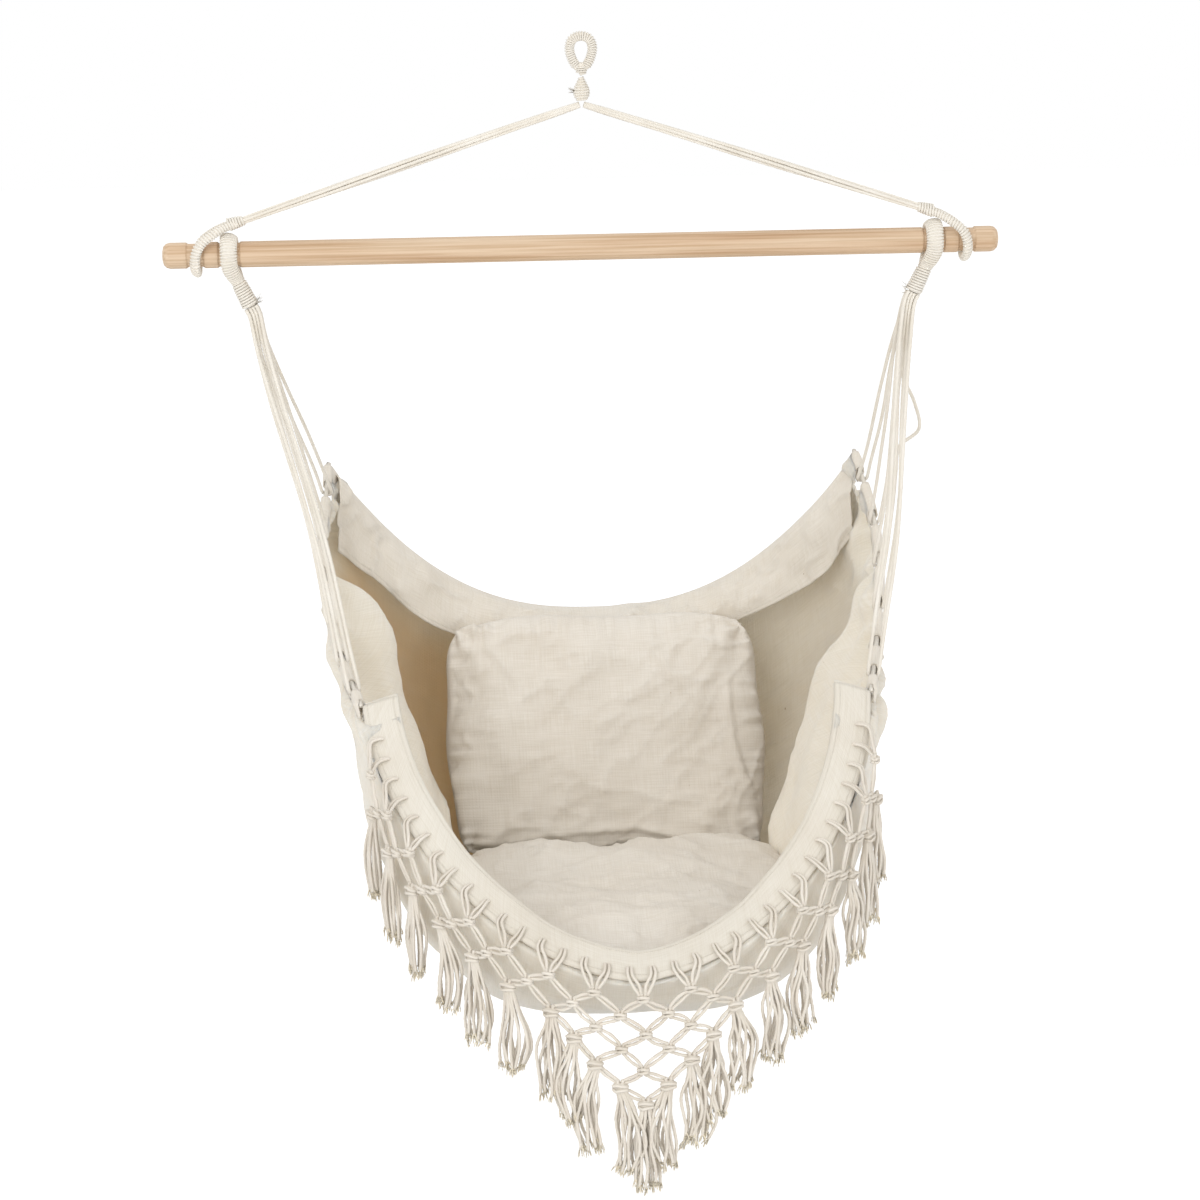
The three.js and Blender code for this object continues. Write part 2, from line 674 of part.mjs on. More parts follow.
// Where a cord hooks: the edge's direction, the way up to the neck and the way across the canvas.
function hookFrame(side, share) {
  const centre = edgePoint(side, share);
  const along = edgeDirection(side, share);
  const toNeck = neckPoint(side, suspensionNeckDrop).sub(centre).normalize();
  const across = along.clone().cross(toNeck).normalize();
  if (across.x < 0) across.negate();
  const square = across.clone().cross(along).normalize();
  if (square.z < 0) square.negate();
  return { centre, along, toNeck, across, square };
}

function boxAt(centre, along, square, length, width, above, below) {
  const box = new THREE.BoxGeometry(length, width, above + below);
  box.translate(0, 0, (above - below) / 2);
  const turned = new THREE.Matrix4().makeBasis(along, square.clone().cross(along), square);
  return box.applyMatrix4(turned.setPosition(centre));
}

// The canvas with its hems, cut for the edge cords' channels and for the notches of the cords.
function canvasSling() {
  let canvas = sheetSolid(slingRows, canvasThickness, 0, slingHems);
  sides.forEach((side) => {
    const points = shareRow(edgeSteps).map((share) => edgePoint(side, share));
    const start = points[0].clone().addScaledVector(edgeDirection(side, 0), -cutOverrun);
    const end = points.at(-1).clone().addScaledVector(edgeDirection(side, 1), cutOverrun);
    const cornerDiameter = (2 * channelRadius) / Math.cos(Math.PI / casingFacets);
    const channel = cordThrough([start, ...points, end], cornerDiameter, casingFacets);
    canvas = canvas.subtract(solidOf(channel));
    hookShares.forEach((share) => {
      const { centre, along, square } = hookFrame(side, share);
      const [width, above] = [6 * casingRadius, 2 * casingRadius];
      const notch = boxAt(centre, along, square, notchLength, width, above, notchDepth);
      canvas = canvas.subtract(solidOf(notch));
    });
  });
  add('canvas_sling', geometryOf(trimmed(canvas.simplify(facetTolerance))), canvasFinish);
}

function edgeCord(side) {
  const points = shareRow(edgeSteps).map((share) => edgePoint(side, share));
  const tail = edgeCordDiameter;
  const start = points[0].clone().addScaledVector(edgeDirection(side, 0), -tail);
  const end = points.at(-1).clone().addScaledVector(edgeDirection(side, 1), tail);
  add(`edge_cord_${side.name}`, cordThrough([start, ...points, end], edgeCordDiameter), cordFinish);
}

// A suspension cord: down from the neck, round the edge cord in its notch, and back up to the neck.
function suspensionCord(side, index) {
  const { centre, toNeck, across, along } = hookFrame(side, hookShares[index]);
  const down = neckDirection(side);
  const bundleAcross = ahead.clone().cross(down).normalize();
  if (bundleAcross.x < 0) bundleAcross.negate();
  const pitchesOut = index % 2 + 1 / 2;
  const rowOffset = pitchesOut * suspensionCordPitch;
  const depthPitchShare = 0.52;
  const depth = ((hookShares.length - 1) / 2 - index) * depthPitchShare * suspensionCordPitch;
  const start = neckPoint(side, suspensionNeckDrop).addScaledVector(down, 2 * seatGap);
  const legTop = (face) => start.clone()
    .addScaledVector(bundleAcross, face * rowOffset)
    .add(vector(0, depth, 0));
  const stretch = 1 / Math.sqrt(1 - Math.pow(along.dot(toNeck), 2));
  const bightSteps = 6;
  const bight = shareRow(bightSteps).map((share) => {
    const angle = Math.PI * share;
    const cornerReach = hookReach / Math.cos(Math.PI / (2 * bightSteps));
    return centre.clone()
      .addScaledVector(across, cornerReach * Math.cos(angle))
      .addScaledVector(toNeck, -cornerReach * stretch * Math.sin(angle));
  });
  const straightPart = 1.5 * suspensionCordDiameter;
  const points = [
    legTop(1), legTop(1).addScaledVector(down, straightPart),
    ...bight,
    legTop(-1).addScaledVector(down, straightPart), legTop(-1),
  ];
  add(`suspension_cord_${side.name}_${index + 1}`, cordThrough(points, suspensionCordDiameter), cordFinish);
}

// The front band lies on the outside of the rim strip.
function frontBand() {
  const startShare = 0.16;
  const reachShare = 0.975;
  const angles = shareRow(acrossSteps, -1, 1)
    .map((angle) => THREE.MathUtils.clamp(angle, -reachShare, reachShare));
  const widthSteps = 3;
  const rows = shareRow(widthSteps, startShare, 1)
    .map((inward) => angles.map((angle) => rimPoint(angle, inward)));
  const offset = canvasThickness / 2 + 4 * seatGap + bandThickness / 2;
  const [outerRow, nextRow] = rows;
  const middle = outerRow[acrossSteps / 2];
  const sideways = outerRow[acrossSteps / 2 + 1].clone().sub(middle);
  const outwards = Math.sign(nextRow[acrossSteps / 2].clone().sub(middle).cross(sideways).z);
  add('front_band', geometryOf(sheetSolid(rows, bandThickness, outwards * offset)), canvasFinish);
}

// A solid's largest piece once other solids have been cut out of it.
function trimmed(solid, ...cutters) {
  const rest = cutters.reduce((piece, cutter) => piece.subtract(cutter), solid);
  return rest.decompose().sort((a, b) => b.volume() - a.volume())[0];
}

// The valance: the top of the canvas turned over, down the inside of the back.
function backValance() {
  const rise = canvasThickness / 2 + 2 * seatGap + valanceThickness / 2;
  const foldShares = [[0, 0], [0.3, 0.02], [0.62, 0.22], [0.86, 0.58], [1, 1]];
  const endPower = 1.6;
  const reachShare = 1 - 2 / acrossSteps;
  const angles = shareRow(acrossSteps - 2, -reachShare, reachShare);
  const rows = foldShares.map(([forward, down]) => angles.map((angle) => {
    const across = Math.abs(Math.sin((Math.PI / 2) * angle));
    const toEnd = Math.pow(across, endPower);
    const top = slingPoint(angle, 0);
    top.z += rise - down * mix(valanceMiddleDrop, valanceEndDrop, toEnd);
    top.y -= forward * mix(valanceMiddleReach, valanceEndReach, toEnd);
    return top;
  }));
  const clearHems = slingHems.map((radius) => radius + 3 * seatGap);
  const keepClear = sheetSolid(slingRows, canvasThickness + 11 * seatGap, 0, clearHems);
  add('back_valance', geometryOf(trimmed(sheetSolid(rows, valanceThickness), keepClear)), canvasFinish);
}

// A cushion's closed form about its own middle: a crowned pillow whose sides draw in between the
// corners, its front edge drawn to a point and its middle dished to the sling.
function pillow({ width, height, thickness, seam, tip, dish, bend }, inset) {
  const steps = 10;
  const halfWidth = width / 2 - inset;
  const halfHeight = height / 2 - inset;
  const halfThickness = thickness / 2 - inset;
  const halfSeam = Math.max(seam / 2 - inset, seam / 8);
  const crownPower = 2.4;
  const crownRoot = 0.6;
  const tipPower = 1.5;
  const placeOf = (x, y) => vector(
    x * (halfWidth - cushionDrawIn * (1 - y * y)),
    y * (halfHeight - cushionDrawIn * (1 - x * x)) - Math.max(0, y) * tip * Math.pow(Math.abs(x), tipPower),
    dish * x * x + bend * y * y,
  );
  const fall = (share) => 1 - Math.pow(Math.abs(share), crownPower);
  const faceOf = (x, y, sign) => {
    const crown = Math.pow(fall(x) * fall(y), crownRoot);
    return placeOf(x, y).add(vector(0, 0, sign * mix(halfSeam, halfThickness, crown)));
  };
  const spread = (share) => Math.sin((Math.PI / 2) * share);
  const line = shareRow(steps, -1, 1).map(spread);
  const rings = line.map((y) => [
    ...line.map((x) => faceOf(x, y, 1)),
    ...line.map((x) => faceOf(x, y, -1)).reverse(),
  ]);
  const endRing = (y) => [
    ...line.map((x) => placeOf(x, y)),
    ...line.map((x) => placeOf(x, y)).reverse(),
  ];
  const closer = halfSeam / 2;
  const first = endRing(-1).map((point) => point.add(vector(0, -closer, 0)));
  const last = endRing(1).map((point) => point.add(vector(0, closer, 0)));
  const all = [first, ...rings, last];
  const geometry = new LoftGeometry(all);
  if (signedVolume(geometry) > 0) return solidOf(geometry);
  return solidOf(new LoftGeometry(all.map((ring) => [...ring].reverse())));
}

// A cover sewn round a filling, with an open slit along its lower or rear side.
function cushion(name, shape, place, turn) {
  const slitCentreY = -shape.height / 2 + cushionDrawIn;
  const slit = new THREE.BoxGeometry(envelopeOpening, 4 * cushionDrawIn, envelopeGap);
  slit.translate(0, slitCentreY - cushionDrawIn, shape.bend);
  const cover = pillow(shape, 0).subtract(pillow(shape, coverThickness)).subtract(solidOf(slit));
  const filling = pillow(shape, coverThickness + 3 * seatGap);
  const holder = new THREE.Group();
  holder.position.copy(place);
  holder.rotation.x = turn;
  chair.add(holder);
  add(name, geometryOf(cover), canvasFinish, holder);
  add(`${name}_filling`, geometryOf(filling), fillingFinish, holder);
}

function cushions() {
  const seatShape = {
    width: cushionSize, height: cushionSize, thickness: seatCushionThickness,
    seam: coverSeam, tip: seatCushionTip, dish: seatCushionDish, bend: 0,
  };
  const seatTurn = Math.PI - radians(seatCushionPitch);
  const seatPlace = vector(0, -seatCushionReach, barAxisZ - seatCushionDrop);
  cushion('seat_cushion', { ...seatShape, dish: -seatCushionDish }, seatPlace, seatTurn);
  const backShape = {
    width: cushionSize, height: backCushionHeight, thickness: backCushionThickness,
    seam: coverSeam, tip: 0, dish: backCushionDish, bend: backCushionDish,
  };
  const backPlace = vector(0, backCushionDepth, barAxisZ - backCushionDrop);
  cushion('back_cushion', backShape, backPlace, Math.PI / 2 - radians(backCushionLean));
}

// Fringe: columns of knots evenly spaced along the band's outer edge, short of the seat's corners.
const lastColumn = 8;
const bareColumns = 1.3;
const rimSteps = 240;
const rimSamples = shareRow(rimSteps).map((angle) => slingPoint(angle, 1));
const rimLengths = rimSamples.reduce((lengths, point, i) => {
  if (i > 0) lengths.push(lengths[i - 1] + point.distanceTo(rimSamples[i - 1]));
  return lengths;
}, [0]);

const knotSpacing = rimLengths.at(-1) / (lastColumn + bareColumns);

// How far round the outer edge a column is: a share of the way from the middle to a corner, and its side.
function rimAngle(column) {
  const length = Math.abs(column) * knotSpacing;
  const next = Math.max(1, rimLengths.findIndex((reached) => reached >= length));
  const part = (length - rimLengths[next - 1]) / (rimLengths[next] - rimLengths[next - 1]);
  return ((next - 1 + part) / rimSteps) * (Math.sign(column) || 1);
}

// How far forward the canvas stands near a place seen from the front, so that the fringe lies on it.
const frontHalfShare = 0.55;
const [alongSamples, acrossSamples] = [60, 90];
const canvasSamples = shareRow(alongSamples, frontHalfShare, 1).flatMap(
  (along) => shareRow(acrossSamples, -1, 1).map((angle) => slingPoint(angle, along)),
);

function canvasFront(x, z, reach) {
  return canvasSamples
    .filter((point) => Math.abs(point.x - x) < reach && Math.abs(point.z - z) < reach)
    .reduce((front, point) => Math.min(front, point.y), Infinity);
}

function knotPoint(column, row) {
  const point = slingPoint(rimAngle(column), 1);
  const standOff = canvasThickness / 2 + knotStandOff + bandThickness + knotThickness / 2;
  point.y -= standOff;
  point.z -= hemKnotDrop + (row - 1) * knotRowPitch;
  point.y = Math.min(point.y, canvasFront(point.x, point.z, knotWidth) - canvasThickness - knotThickness);
  return point;
}

const middleRows = 7;
const sideRows = 3;
const rowsAt = (column) => Math.max(sideRows, middleRows - 2 * Math.abs(column));

// The half width of a cord pair in a column: pairs draw together towards the corners of the seat.
const cornerPairShare = 0.56;
const pairHalfWidth = (column) => (cordPairWidth / 2) * mix(1, cornerPairShare, Math.abs(column) / lastColumn);

// A corner of the net's front view: a place on a cord pair's middle and the pair's half width there.
const knotCorner = (column, row) => ({ place: knotPoint(column, row), half: pairHalfWidth(column) });

// A polygon's corners moved to its left by their half widths, seen from the front. A corner where the
// path turns straight back becomes two, and a corner marked as cut is cut off for the knot it goes round.
function movedSideways(corners, outwards) {
  const moved = [];
  corners.forEach(({ place, half, end }, i) => {
    const before = corners[(i + corners.length - 1) % corners.length].place;
    const after = corners[(i + 1) % corners.length].place;
    const arrive = new THREE.Vector2(place.x - before.x, place.z - before.z).normalize();
    const leave = new THREE.Vector2(after.x - place.x, after.z - place.z).normalize();
    const arriveSide = new THREE.Vector2(-arrive.y, arrive.x);
    const leaveSide = new THREE.Vector2(-leave.y, leave.x);
    const shift = (side, size) => vector(place.x + side.x * size, place.y, place.z + side.y * size);
    if (end) {
      moved.push(shift(arriveSide, half * outwards), shift(leaveSide, half * outwards));
      return;
    }
    const middle = arriveSide.clone().add(leaveSide);
    const size = (half * outwards) / (1 + arriveSide.dot(leaveSide));
    moved.push(shift(middle, size));
  });
  return moved;
}

// A gap keeps its form only where each of its sides still runs the way it did before it was narrowed.
function staysOpen(corners, narrowed) {
  return narrowed.every((point, i) => {
    const next = (i + 1) % corners.length;
    const was = corners[next].place.clone().sub(corners[i].place).setY(0);
    const now = narrowed[next].clone().sub(point).setY(0);
    return now.length() > netThickness / 2 && was.dot(now) > 0;
  });
}

// The staples: a cord pair leaves each side of a first-row knot and goes up over the band.
function stapleCorners(column) {
  const half = pairHalfWidth(column);
  const foot = { place: bandFace(column, 0), half };
  const head = { place: bandFace(column, stapleLength / bandWidth), half, end: true };
  return [foot, head, foot];
}

// The net's outline, clockwise from the front: along the staples, then back along its lower edge.
function netOutline() {
  const outline = [];
  for (let column = -lastColumn; column <= lastColumn; column++) {
    outline.push(knotCorner(column, 1), ...stapleCorners(column - 1 / 4));
    outline.push(knotCorner(column, 1), ...stapleCorners(column + 1 / 4));
    outline.push(knotCorner(column, 1));
    if (column < lastColumn) outline.push(knotCorner(column + 1 / 2, 2));
  }
  for (let half = 2 * lastColumn; half >= -2 * lastColumn; half--) {
    const column = half / 2;
    const onColumn = half % 2 === 0;
    const row = rowsAt(column);
    if (onColumn || row > sideRows) outline.push(knotCorner(column, row));
    else outline.push(knotCorner(column, 2));
  }
  return outline;
}

// The net's closed gaps: each lies between a knot, the two below it at its sides and the one below them.
function netGaps() {
  const gaps = [];
  for (let half = -2 * lastColumn + 1; half < 2 * lastColumn; half++) {
    const column = half / 2;
    const firstRow = half % 2 === 0 ? 1 : 2;
    for (let row = firstRow; row + 2 <= rowsAt(column); row += 2) {
      const corners = [
        knotCorner(column, row), knotCorner(column + 1 / 2, row + 1),
        knotCorner(column, row + 2), knotCorner(column - 1 / 2, row + 1),
      ];
      const narrowed = movedSideways(corners, -1);
      if (staysOpen(corners, narrowed)) gaps.push(narrowed);
    }
  }
  return gaps;
}

// The knotted net, a flat mesh of cord pairs that hangs from the band.
const netEdge = movedSideways(netOutline(), 1);

function fringeNet() {
  const outline = [...netEdge].reverse();
  const gaps = netGaps();
  const flat = (point) => new THREE.Vector2(point.x, point.z);
  const faces = THREE.ShapeUtils.triangulateShape(outline.map(flat), gaps.map((gap) => gap.map(flat)));
  const loops = [outline, ...gaps];
  const points = loops.flat();
  const count = points.length;
  const places = [-1, 1].flatMap((way) => points.flatMap(
    (point) => [point.x, point.y + (way * netThickness) / 2, point.z],
  ));
  const corners = faces.flatMap(([a, b, c]) => [a, b, c, c + count, b + count, a + count]);
  let first = 0;
  loops.forEach((loop) => {
    loop.forEach((_, i) => {
      const [a, b] = [first + i, first + ((i + 1) % loop.length)];
      corners.push(b, a, a + count, b, a + count, b + count);
    });
    first += loop.length;
  });
  const geometry = new THREE.BufferGeometry();
  geometry.setAttribute('position', new THREE.Float32BufferAttribute(places, 3));
  geometry.setIndex(corners);
  console.log(`net: ${gaps.length} gaps, encloses ${(signedVolume(geometry) / 6).toFixed(0)} cubic mm`);
  add('fringe_net', geometry, cordFinish);
}

// A place on the band's face, a number of columns to the side of the middle.
function bandFace(column, inward) {
  const angle = rimAngle(column);
  const nearbyShare = 0.01;
  const along = rimPoint(angle + nearbyShare, inward).sub(rimPoint(angle - nearbyShare, inward));
  const facing = along.cross(rimPoint(angle, 1).sub(rimPoint(angle, 0))).normalize();
  if (facing.y > 0) facing.negate();
  const rise = canvasThickness / 2 + bandThickness + stapleStandOff + netThickness / 2;
  return rimPoint(angle, inward).addScaledVector(facing, rise);
}

// A tassel: a bound head with a skirt of cord ends.
function tassel(column, row, number) {
  const knot = knotPoint(column, row);
  const nearer = (best, point) => (point.distanceTo(knot) < best.distanceTo(knot) ? point : best);
  const start = netEdge.filter((point) => point.z < knot.z).reduce(nearer).clone();
  start.z -= seatGap;
  const end = start.clone();
  end.z -= tasselLength;
  end.y = Math.min(end.y, canvasFront(end.x, end.z, knotWidth) - tasselEndDiameter / 2 - canvasThickness);
  const direction = end.sub(start).normalize();
  const profileShares = [
    [0, 1], [1, 1], [0.6, 0.24], [0.78, 0.16], [0.62, 0.1], [0.18, 0.078], [0.18, 0.035], [0, 0],
  ];
  const profile = profileShares.map(([out, down]) => new THREE.Vector2(
    out * (tasselEndDiameter / 2), -down * tasselLength,
  ));
  const facets = 6;
  const name = `tassel_${String(number).padStart(2, '0')}`;
  const mesh = add(name, new THREE.LatheGeometry(profile, facets), cordFinish);
  mesh.position.copy(start);
  mesh.quaternion.setFromUnitVectors(vector(0, -1, 0), direction);
}

function tassels() {
  const columns = shareRow(4 * lastColumn, -lastColumn, lastColumn);
  const hung = columns.filter((column) => Number.isInteger(column) || rowsAt(column) > sideRows);
  hung.forEach((column, i) => tassel(column, rowsAt(column), i + 1));
  console.log(`tassels: ${hung.length}`);
}

spreaderBar();
eyeCore();
eyeWhipping();
neckBinding();
sides.forEach(bridleBundle);
sides.forEach(bridleLoop);
sides.forEach(suspensionLoop);
sides.forEach(neckWhipping);
canvasSling();
sides.forEach(edgeCord);
sides.forEach((side) => hookShares.forEach((_, index) => suspensionCord(side, index)));
frontBand();
backValance();
cushions();
fringeNet();
tassels();

export default chair;
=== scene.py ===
# %% [markdown]
# # A hammock chair in canvas and cotton cord
#
# The chair hangs from one hook: a wrapped eye, a bridle of cords, a wooden spreader bar, two fans of
# cord and a canvas sling with cushions and a knotted fringe. The CAD model holds every solid piece.
# This lesson dresses it, so that cloth looks like cloth and cord looks like cord. Metres, +Z up,
# the chair's front towards -Y, the origin where the hook bears.

# %% Load the frame
import math
import random

import bmesh
import bpy
import numpy as np
from mathutils import Matrix, Vector, noise
from mathutils.bvhtree import BVHTree


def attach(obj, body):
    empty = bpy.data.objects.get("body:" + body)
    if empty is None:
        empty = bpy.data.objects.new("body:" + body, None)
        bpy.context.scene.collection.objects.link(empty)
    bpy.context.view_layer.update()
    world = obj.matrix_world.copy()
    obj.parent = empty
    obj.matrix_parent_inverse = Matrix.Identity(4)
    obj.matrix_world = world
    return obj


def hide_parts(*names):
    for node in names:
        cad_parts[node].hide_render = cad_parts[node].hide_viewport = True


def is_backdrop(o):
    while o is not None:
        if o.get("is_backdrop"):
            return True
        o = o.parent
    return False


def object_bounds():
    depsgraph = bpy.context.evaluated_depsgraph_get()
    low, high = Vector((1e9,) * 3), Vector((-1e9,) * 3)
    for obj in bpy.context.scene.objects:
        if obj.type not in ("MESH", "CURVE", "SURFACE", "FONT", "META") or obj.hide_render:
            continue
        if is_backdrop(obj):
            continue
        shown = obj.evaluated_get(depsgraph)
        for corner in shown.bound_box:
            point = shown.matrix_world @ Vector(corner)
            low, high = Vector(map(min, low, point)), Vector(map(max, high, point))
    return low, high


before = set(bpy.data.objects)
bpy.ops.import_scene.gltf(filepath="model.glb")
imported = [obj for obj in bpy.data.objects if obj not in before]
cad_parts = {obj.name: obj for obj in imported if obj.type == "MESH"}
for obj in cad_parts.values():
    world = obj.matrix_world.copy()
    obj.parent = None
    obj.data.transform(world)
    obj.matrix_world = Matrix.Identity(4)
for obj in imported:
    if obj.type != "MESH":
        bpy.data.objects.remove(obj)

noise.seed_set(5)  # without this the noise differs from run to run
MM = 0.001
for starter in ("Cube", "Light", "Camera"):
    if starter in bpy.data.objects:
        bpy.data.objects.remove(bpy.data.objects[starter])
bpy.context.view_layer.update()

# %% [markdown]
# ## Camera
#
# The photograph was taken a little above the bar and a few degrees to its left, from about three
# metres away, with the camera turned down towards the seat. The bar's ends, its slope and the eye give
# the camera's place. A longer lens from farther away would show the same size, but flatter.

# %% Camera
bar_centre = Vector((0, 0, -218 * MM))
camera_distance = 3000 * MM
camera_side = math.radians(-3.4)
camera_rise = 450 * MM
camera_slide = 13.1 * MM
camera_pitch = math.radians(15.73)
camera_roll = math.radians(-0.7)
focal_share = 2795 / 1200
sensor_width = 36

right = Vector((math.cos(camera_side), math.sin(camera_side), 0))
level = Vector((-math.sin(camera_side), math.cos(camera_side), 0))
sight = level * math.cos(camera_pitch) - Vector((0, 0, math.sin(camera_pitch)))
camera = bpy.data.objects.new("camera", bpy.data.cameras.new("camera"))
bpy.context.scene.collection.objects.link(camera)
camera.location = bar_centre - level * camera_distance + Vector((0, 0, camera_rise)) + right * camera_slide
camera.rotation_mode = "QUATERNION"
roll = Matrix.Rotation(camera_roll, 3, "Z").to_quaternion()
camera.rotation_quaternion = sight.to_track_quat("-Z", "Y") @ roll
camera.data.sensor_width = sensor_width
camera.data.lens = sensor_width * focal_share
bpy.context.scene.camera = camera
print("camera at", [round(x, 3) for x in camera.location], "lens", round(camera.data.lens, 1), "mm")

# %% [markdown]
# ## Light and floor
#
# Pale cloth shows its folds by soft shading alone. One broad lamp at the left gives most of the light,
# a weaker one stands opposite and a small one above. A sun lamp would be simpler, but it would throw
# hard shadows. The floor glows for the camera alone, and the sky is brighter for it than for the
# chair, so the background is white without more light on the cloth.

# %% Lamps
bpy.context.scene.view_settings.view_transform = "Standard"
seat_centre = Vector((0, -0.05, -0.75))


def lamp(name, place, watts, size):
    """A square area lamp that shines at the middle of the seat."""
    data = bpy.data.lights.new(name, "AREA")
    data.energy = watts
    data.size = size
    holder = bpy.data.objects.new(name, data)
    bpy.context.scene.collection.objects.link(holder)
    holder.location = place
    holder.rotation_euler = (seat_centre - Vector(place)).to_track_quat("-Z", "Y").to_euler()
    print(name, watts, "watts,", size, "metres wide")


lamp("key_lamp", (-1.5, -2.7, 0.7), 29, 1.8)
lamp("fill_lamp", (1.9, -2.6, 0.0), 16, 2.2)
lamp("top_lamp", (-0.3, 0.5, 1.9), 7, 1.8)

# %% Floor
floor_drop = 1.28
floor_reach = 9.0
floor_mesh = bpy.data.meshes.new("floor")
floor_mesh.from_pydata(
    [(x * floor_reach, y * floor_reach, -floor_drop) for x, y in ((-1, -1), (1, -1), (1, 1), (-1, 1))],
    [], [(0, 1, 2, 3)])
floor = bpy.data.objects.new("floor", floor_mesh)
bpy.context.scene.collection.objects.link(floor)
floor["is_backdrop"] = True

floor_paint = bpy.data.materials.new("floor_white")
floor_paint.use_nodes = True
floor_nodes, floor_links = floor_paint.node_tree.nodes, floor_paint.node_tree.links
floor_shader = floor_nodes["Principled BSDF"]
floor_shader.inputs["Base Color"].default_value = (0.9, 0.9, 0.9, 1)
floor_shader.inputs["Roughness"].default_value = 0.9
floor_shader.inputs["Emission Color"].default_value = (1, 1, 1, 1)
floor_ray = floor_nodes.new("ShaderNodeLightPath")
floor_glow = floor_nodes.new("ShaderNodeMath")
floor_glow.operation = "MULTIPLY"
floor_glow.inputs[1].default_value = 0.42
floor_links.new(floor_ray.outputs["Is Camera Ray"], floor_glow.inputs[0])
floor_links.new(floor_glow.outputs[0], floor_shader.inputs["Emission Strength"])
floor_mesh.materials.append(floor_paint)
print("floor", floor_drop, "metres below the hook")

# %% Sky
world = bpy.data.worlds.new("white_room")
bpy.context.scene.world = world
world.use_nodes = True
sky, sky_links = world.node_tree.nodes, world.node_tree.links
sky_ray = sky.new("ShaderNodeLightPath")
sky_strength = sky.new("ShaderNodeMapRange")
sky_strength.inputs["To Min"].default_value = 0.78
sky_strength.inputs["To Max"].default_value = 1.0
sky_links.new(sky_ray.outputs["Is Camera Ray"], sky_strength.inputs["Value"])
sky["Background"].inputs["Color"].default_value = (1, 1, 1, 1)
sky_links.new(sky_strength.outputs[0], sky["Background"].inputs["Strength"])
print("sky lights the chair at", round(sky_strength.inputs["To Min"].default_value, 2), "of white")

# %% [markdown]
# ## Finishes
#
# Four real materials are on show. The bar is a sanded pale hardwood dowel with straight fine grain.
# Every cord is undyed cotton, matt and a little furry. The canvas is a plain weave, also undyed, with
# thick places in its threads. Small brown seed flecks sit in it here and there. All of them are node
# materials without images, in the objects' own metres, so the grain and weave keep their real scale.

# %% Node helpers


def new_finish(name, roughness):
    finish = bpy.data.materials.new(name)
    finish.use_nodes = True
    shader = finish.node_tree.nodes["Principled BSDF"]
    shader.inputs["Roughness"].default_value = roughness
    return finish, finish.node_tree.nodes, finish.node_tree.links, shader


def noise_node(nodes, links, source, scale, detail=3, stretch=(1, 1, 1)):
    mapping = nodes.new("ShaderNodeMapping")
    mapping.inputs["Scale"].default_value = stretch
    links.new(source, mapping.inputs["Vector"])
    node = nodes.new("ShaderNodeTexNoise")
    node.inputs["Scale"].default_value = scale
    node.inputs["Detail"].default_value = detail
    links.new(mapping.outputs[0], node.inputs["Vector"])
    return node


def ramp_node(nodes, links, source, stops):
    node = nodes.new("ShaderNodeValToRGB")
    elements = node.color_ramp.elements
    while len(elements) < len(stops):
        elements.new(0.5)
    for element, (place, colour) in zip(elements, stops):
        element.position = place
        element.color = (*colour, 1)
    links.new(source, node.inputs["Fac"])
    return node


def bump_node(nodes, links, height, strength, distance, below=None):
    node = nodes.new("ShaderNodeBump")
    node.inputs["Strength"].default_value = strength
    node.inputs["Distance"].default_value = distance
    links.new(height, node.inputs["Height"])
    if below:
        links.new(below.outputs[0], node.inputs["Normal"])
    return node


def mix_node(nodes, links, blend, factor, first, second):
    node = nodes.new("ShaderNodeMix")
    node.data_type = "RGBA"
    node.blend_type = blend
    if isinstance(factor, float):
        node.inputs[0].default_value = factor
    else:
        links.new(factor, node.inputs[0])
    links.new(first, node.inputs[6])
    if isinstance(second, tuple):
        node.inputs[7].default_value = (*second, 1)
    else:
        links.new(second, node.inputs[7])
    return node


def math_node(nodes, links, operation, first, second):
    """Arithmetic on two values, the second of them a socket or a plain number."""
    node = nodes.new("ShaderNodeMath")
    node.operation = operation
    links.new(first, node.inputs[0])
    if isinstance(second, float):
        node.inputs[1].default_value = second
    else:
        links.new(second, node.inputs[1])
    return node.outputs[0]

# %% [markdown]
# ## Cotton
#
# Cotton cord is spun from short fibres, so it is matt, a little furry and not quite even in colour.
# Hair would give the fur, but thousands of hairs on each cord cost too much. Fine noise in the bump
# and a little sheen give the same softness. The fringe is yellower than the cords, and its ends more.

# %% The cotton of cords, fringe and thread


def cotton_finish(name, light, dark):
    finish, nodes, links, shader = new_finish(name, 0.92)
    place = nodes.new("ShaderNodeTexCoord").outputs["Object"]
    patches = noise_node(nodes, links, place, 28, 4)
    tint = ramp_node(nodes, links, patches.outputs[0], [(0.32, dark), (0.66, light)])
    links.new(tint.outputs[0], shader.inputs["Base Color"])
    fibres = noise_node(nodes, links, place, 1900, 2)
    fuzz = bump_node(nodes, links, fibres.outputs[0], 0.55, 0.35 * MM)
    links.new(fuzz.outputs[0], shader.inputs["Normal"])
    shader.inputs["Sheen Weight"].default_value = 0.25
    shader.inputs["Sheen Roughness"].default_value = 0.5
    shader.inputs["Specular IOR Level"].default_value = 0.2
    return finish


cord_cotton = cotton_finish("undyed_cotton_cord", (0.88, 0.835, 0.755), (0.815, 0.76, 0.665))
fringe_cotton = cotton_finish("undyed_cotton_fringe", (0.84, 0.785, 0.70), (0.74, 0.675, 0.58))
tip_cotton = cotton_finish("frayed_cotton_tips", (0.90, 0.825, 0.67), (0.84, 0.745, 0.57))
thread_cotton = cotton_finish("sewing_thread", (0.80, 0.76, 0.68), (0.72, 0.67, 0.58))
print("cottons:", [finish.name for finish in (cord_cotton, fringe_cotton, tip_cotton, thread_cotton)])

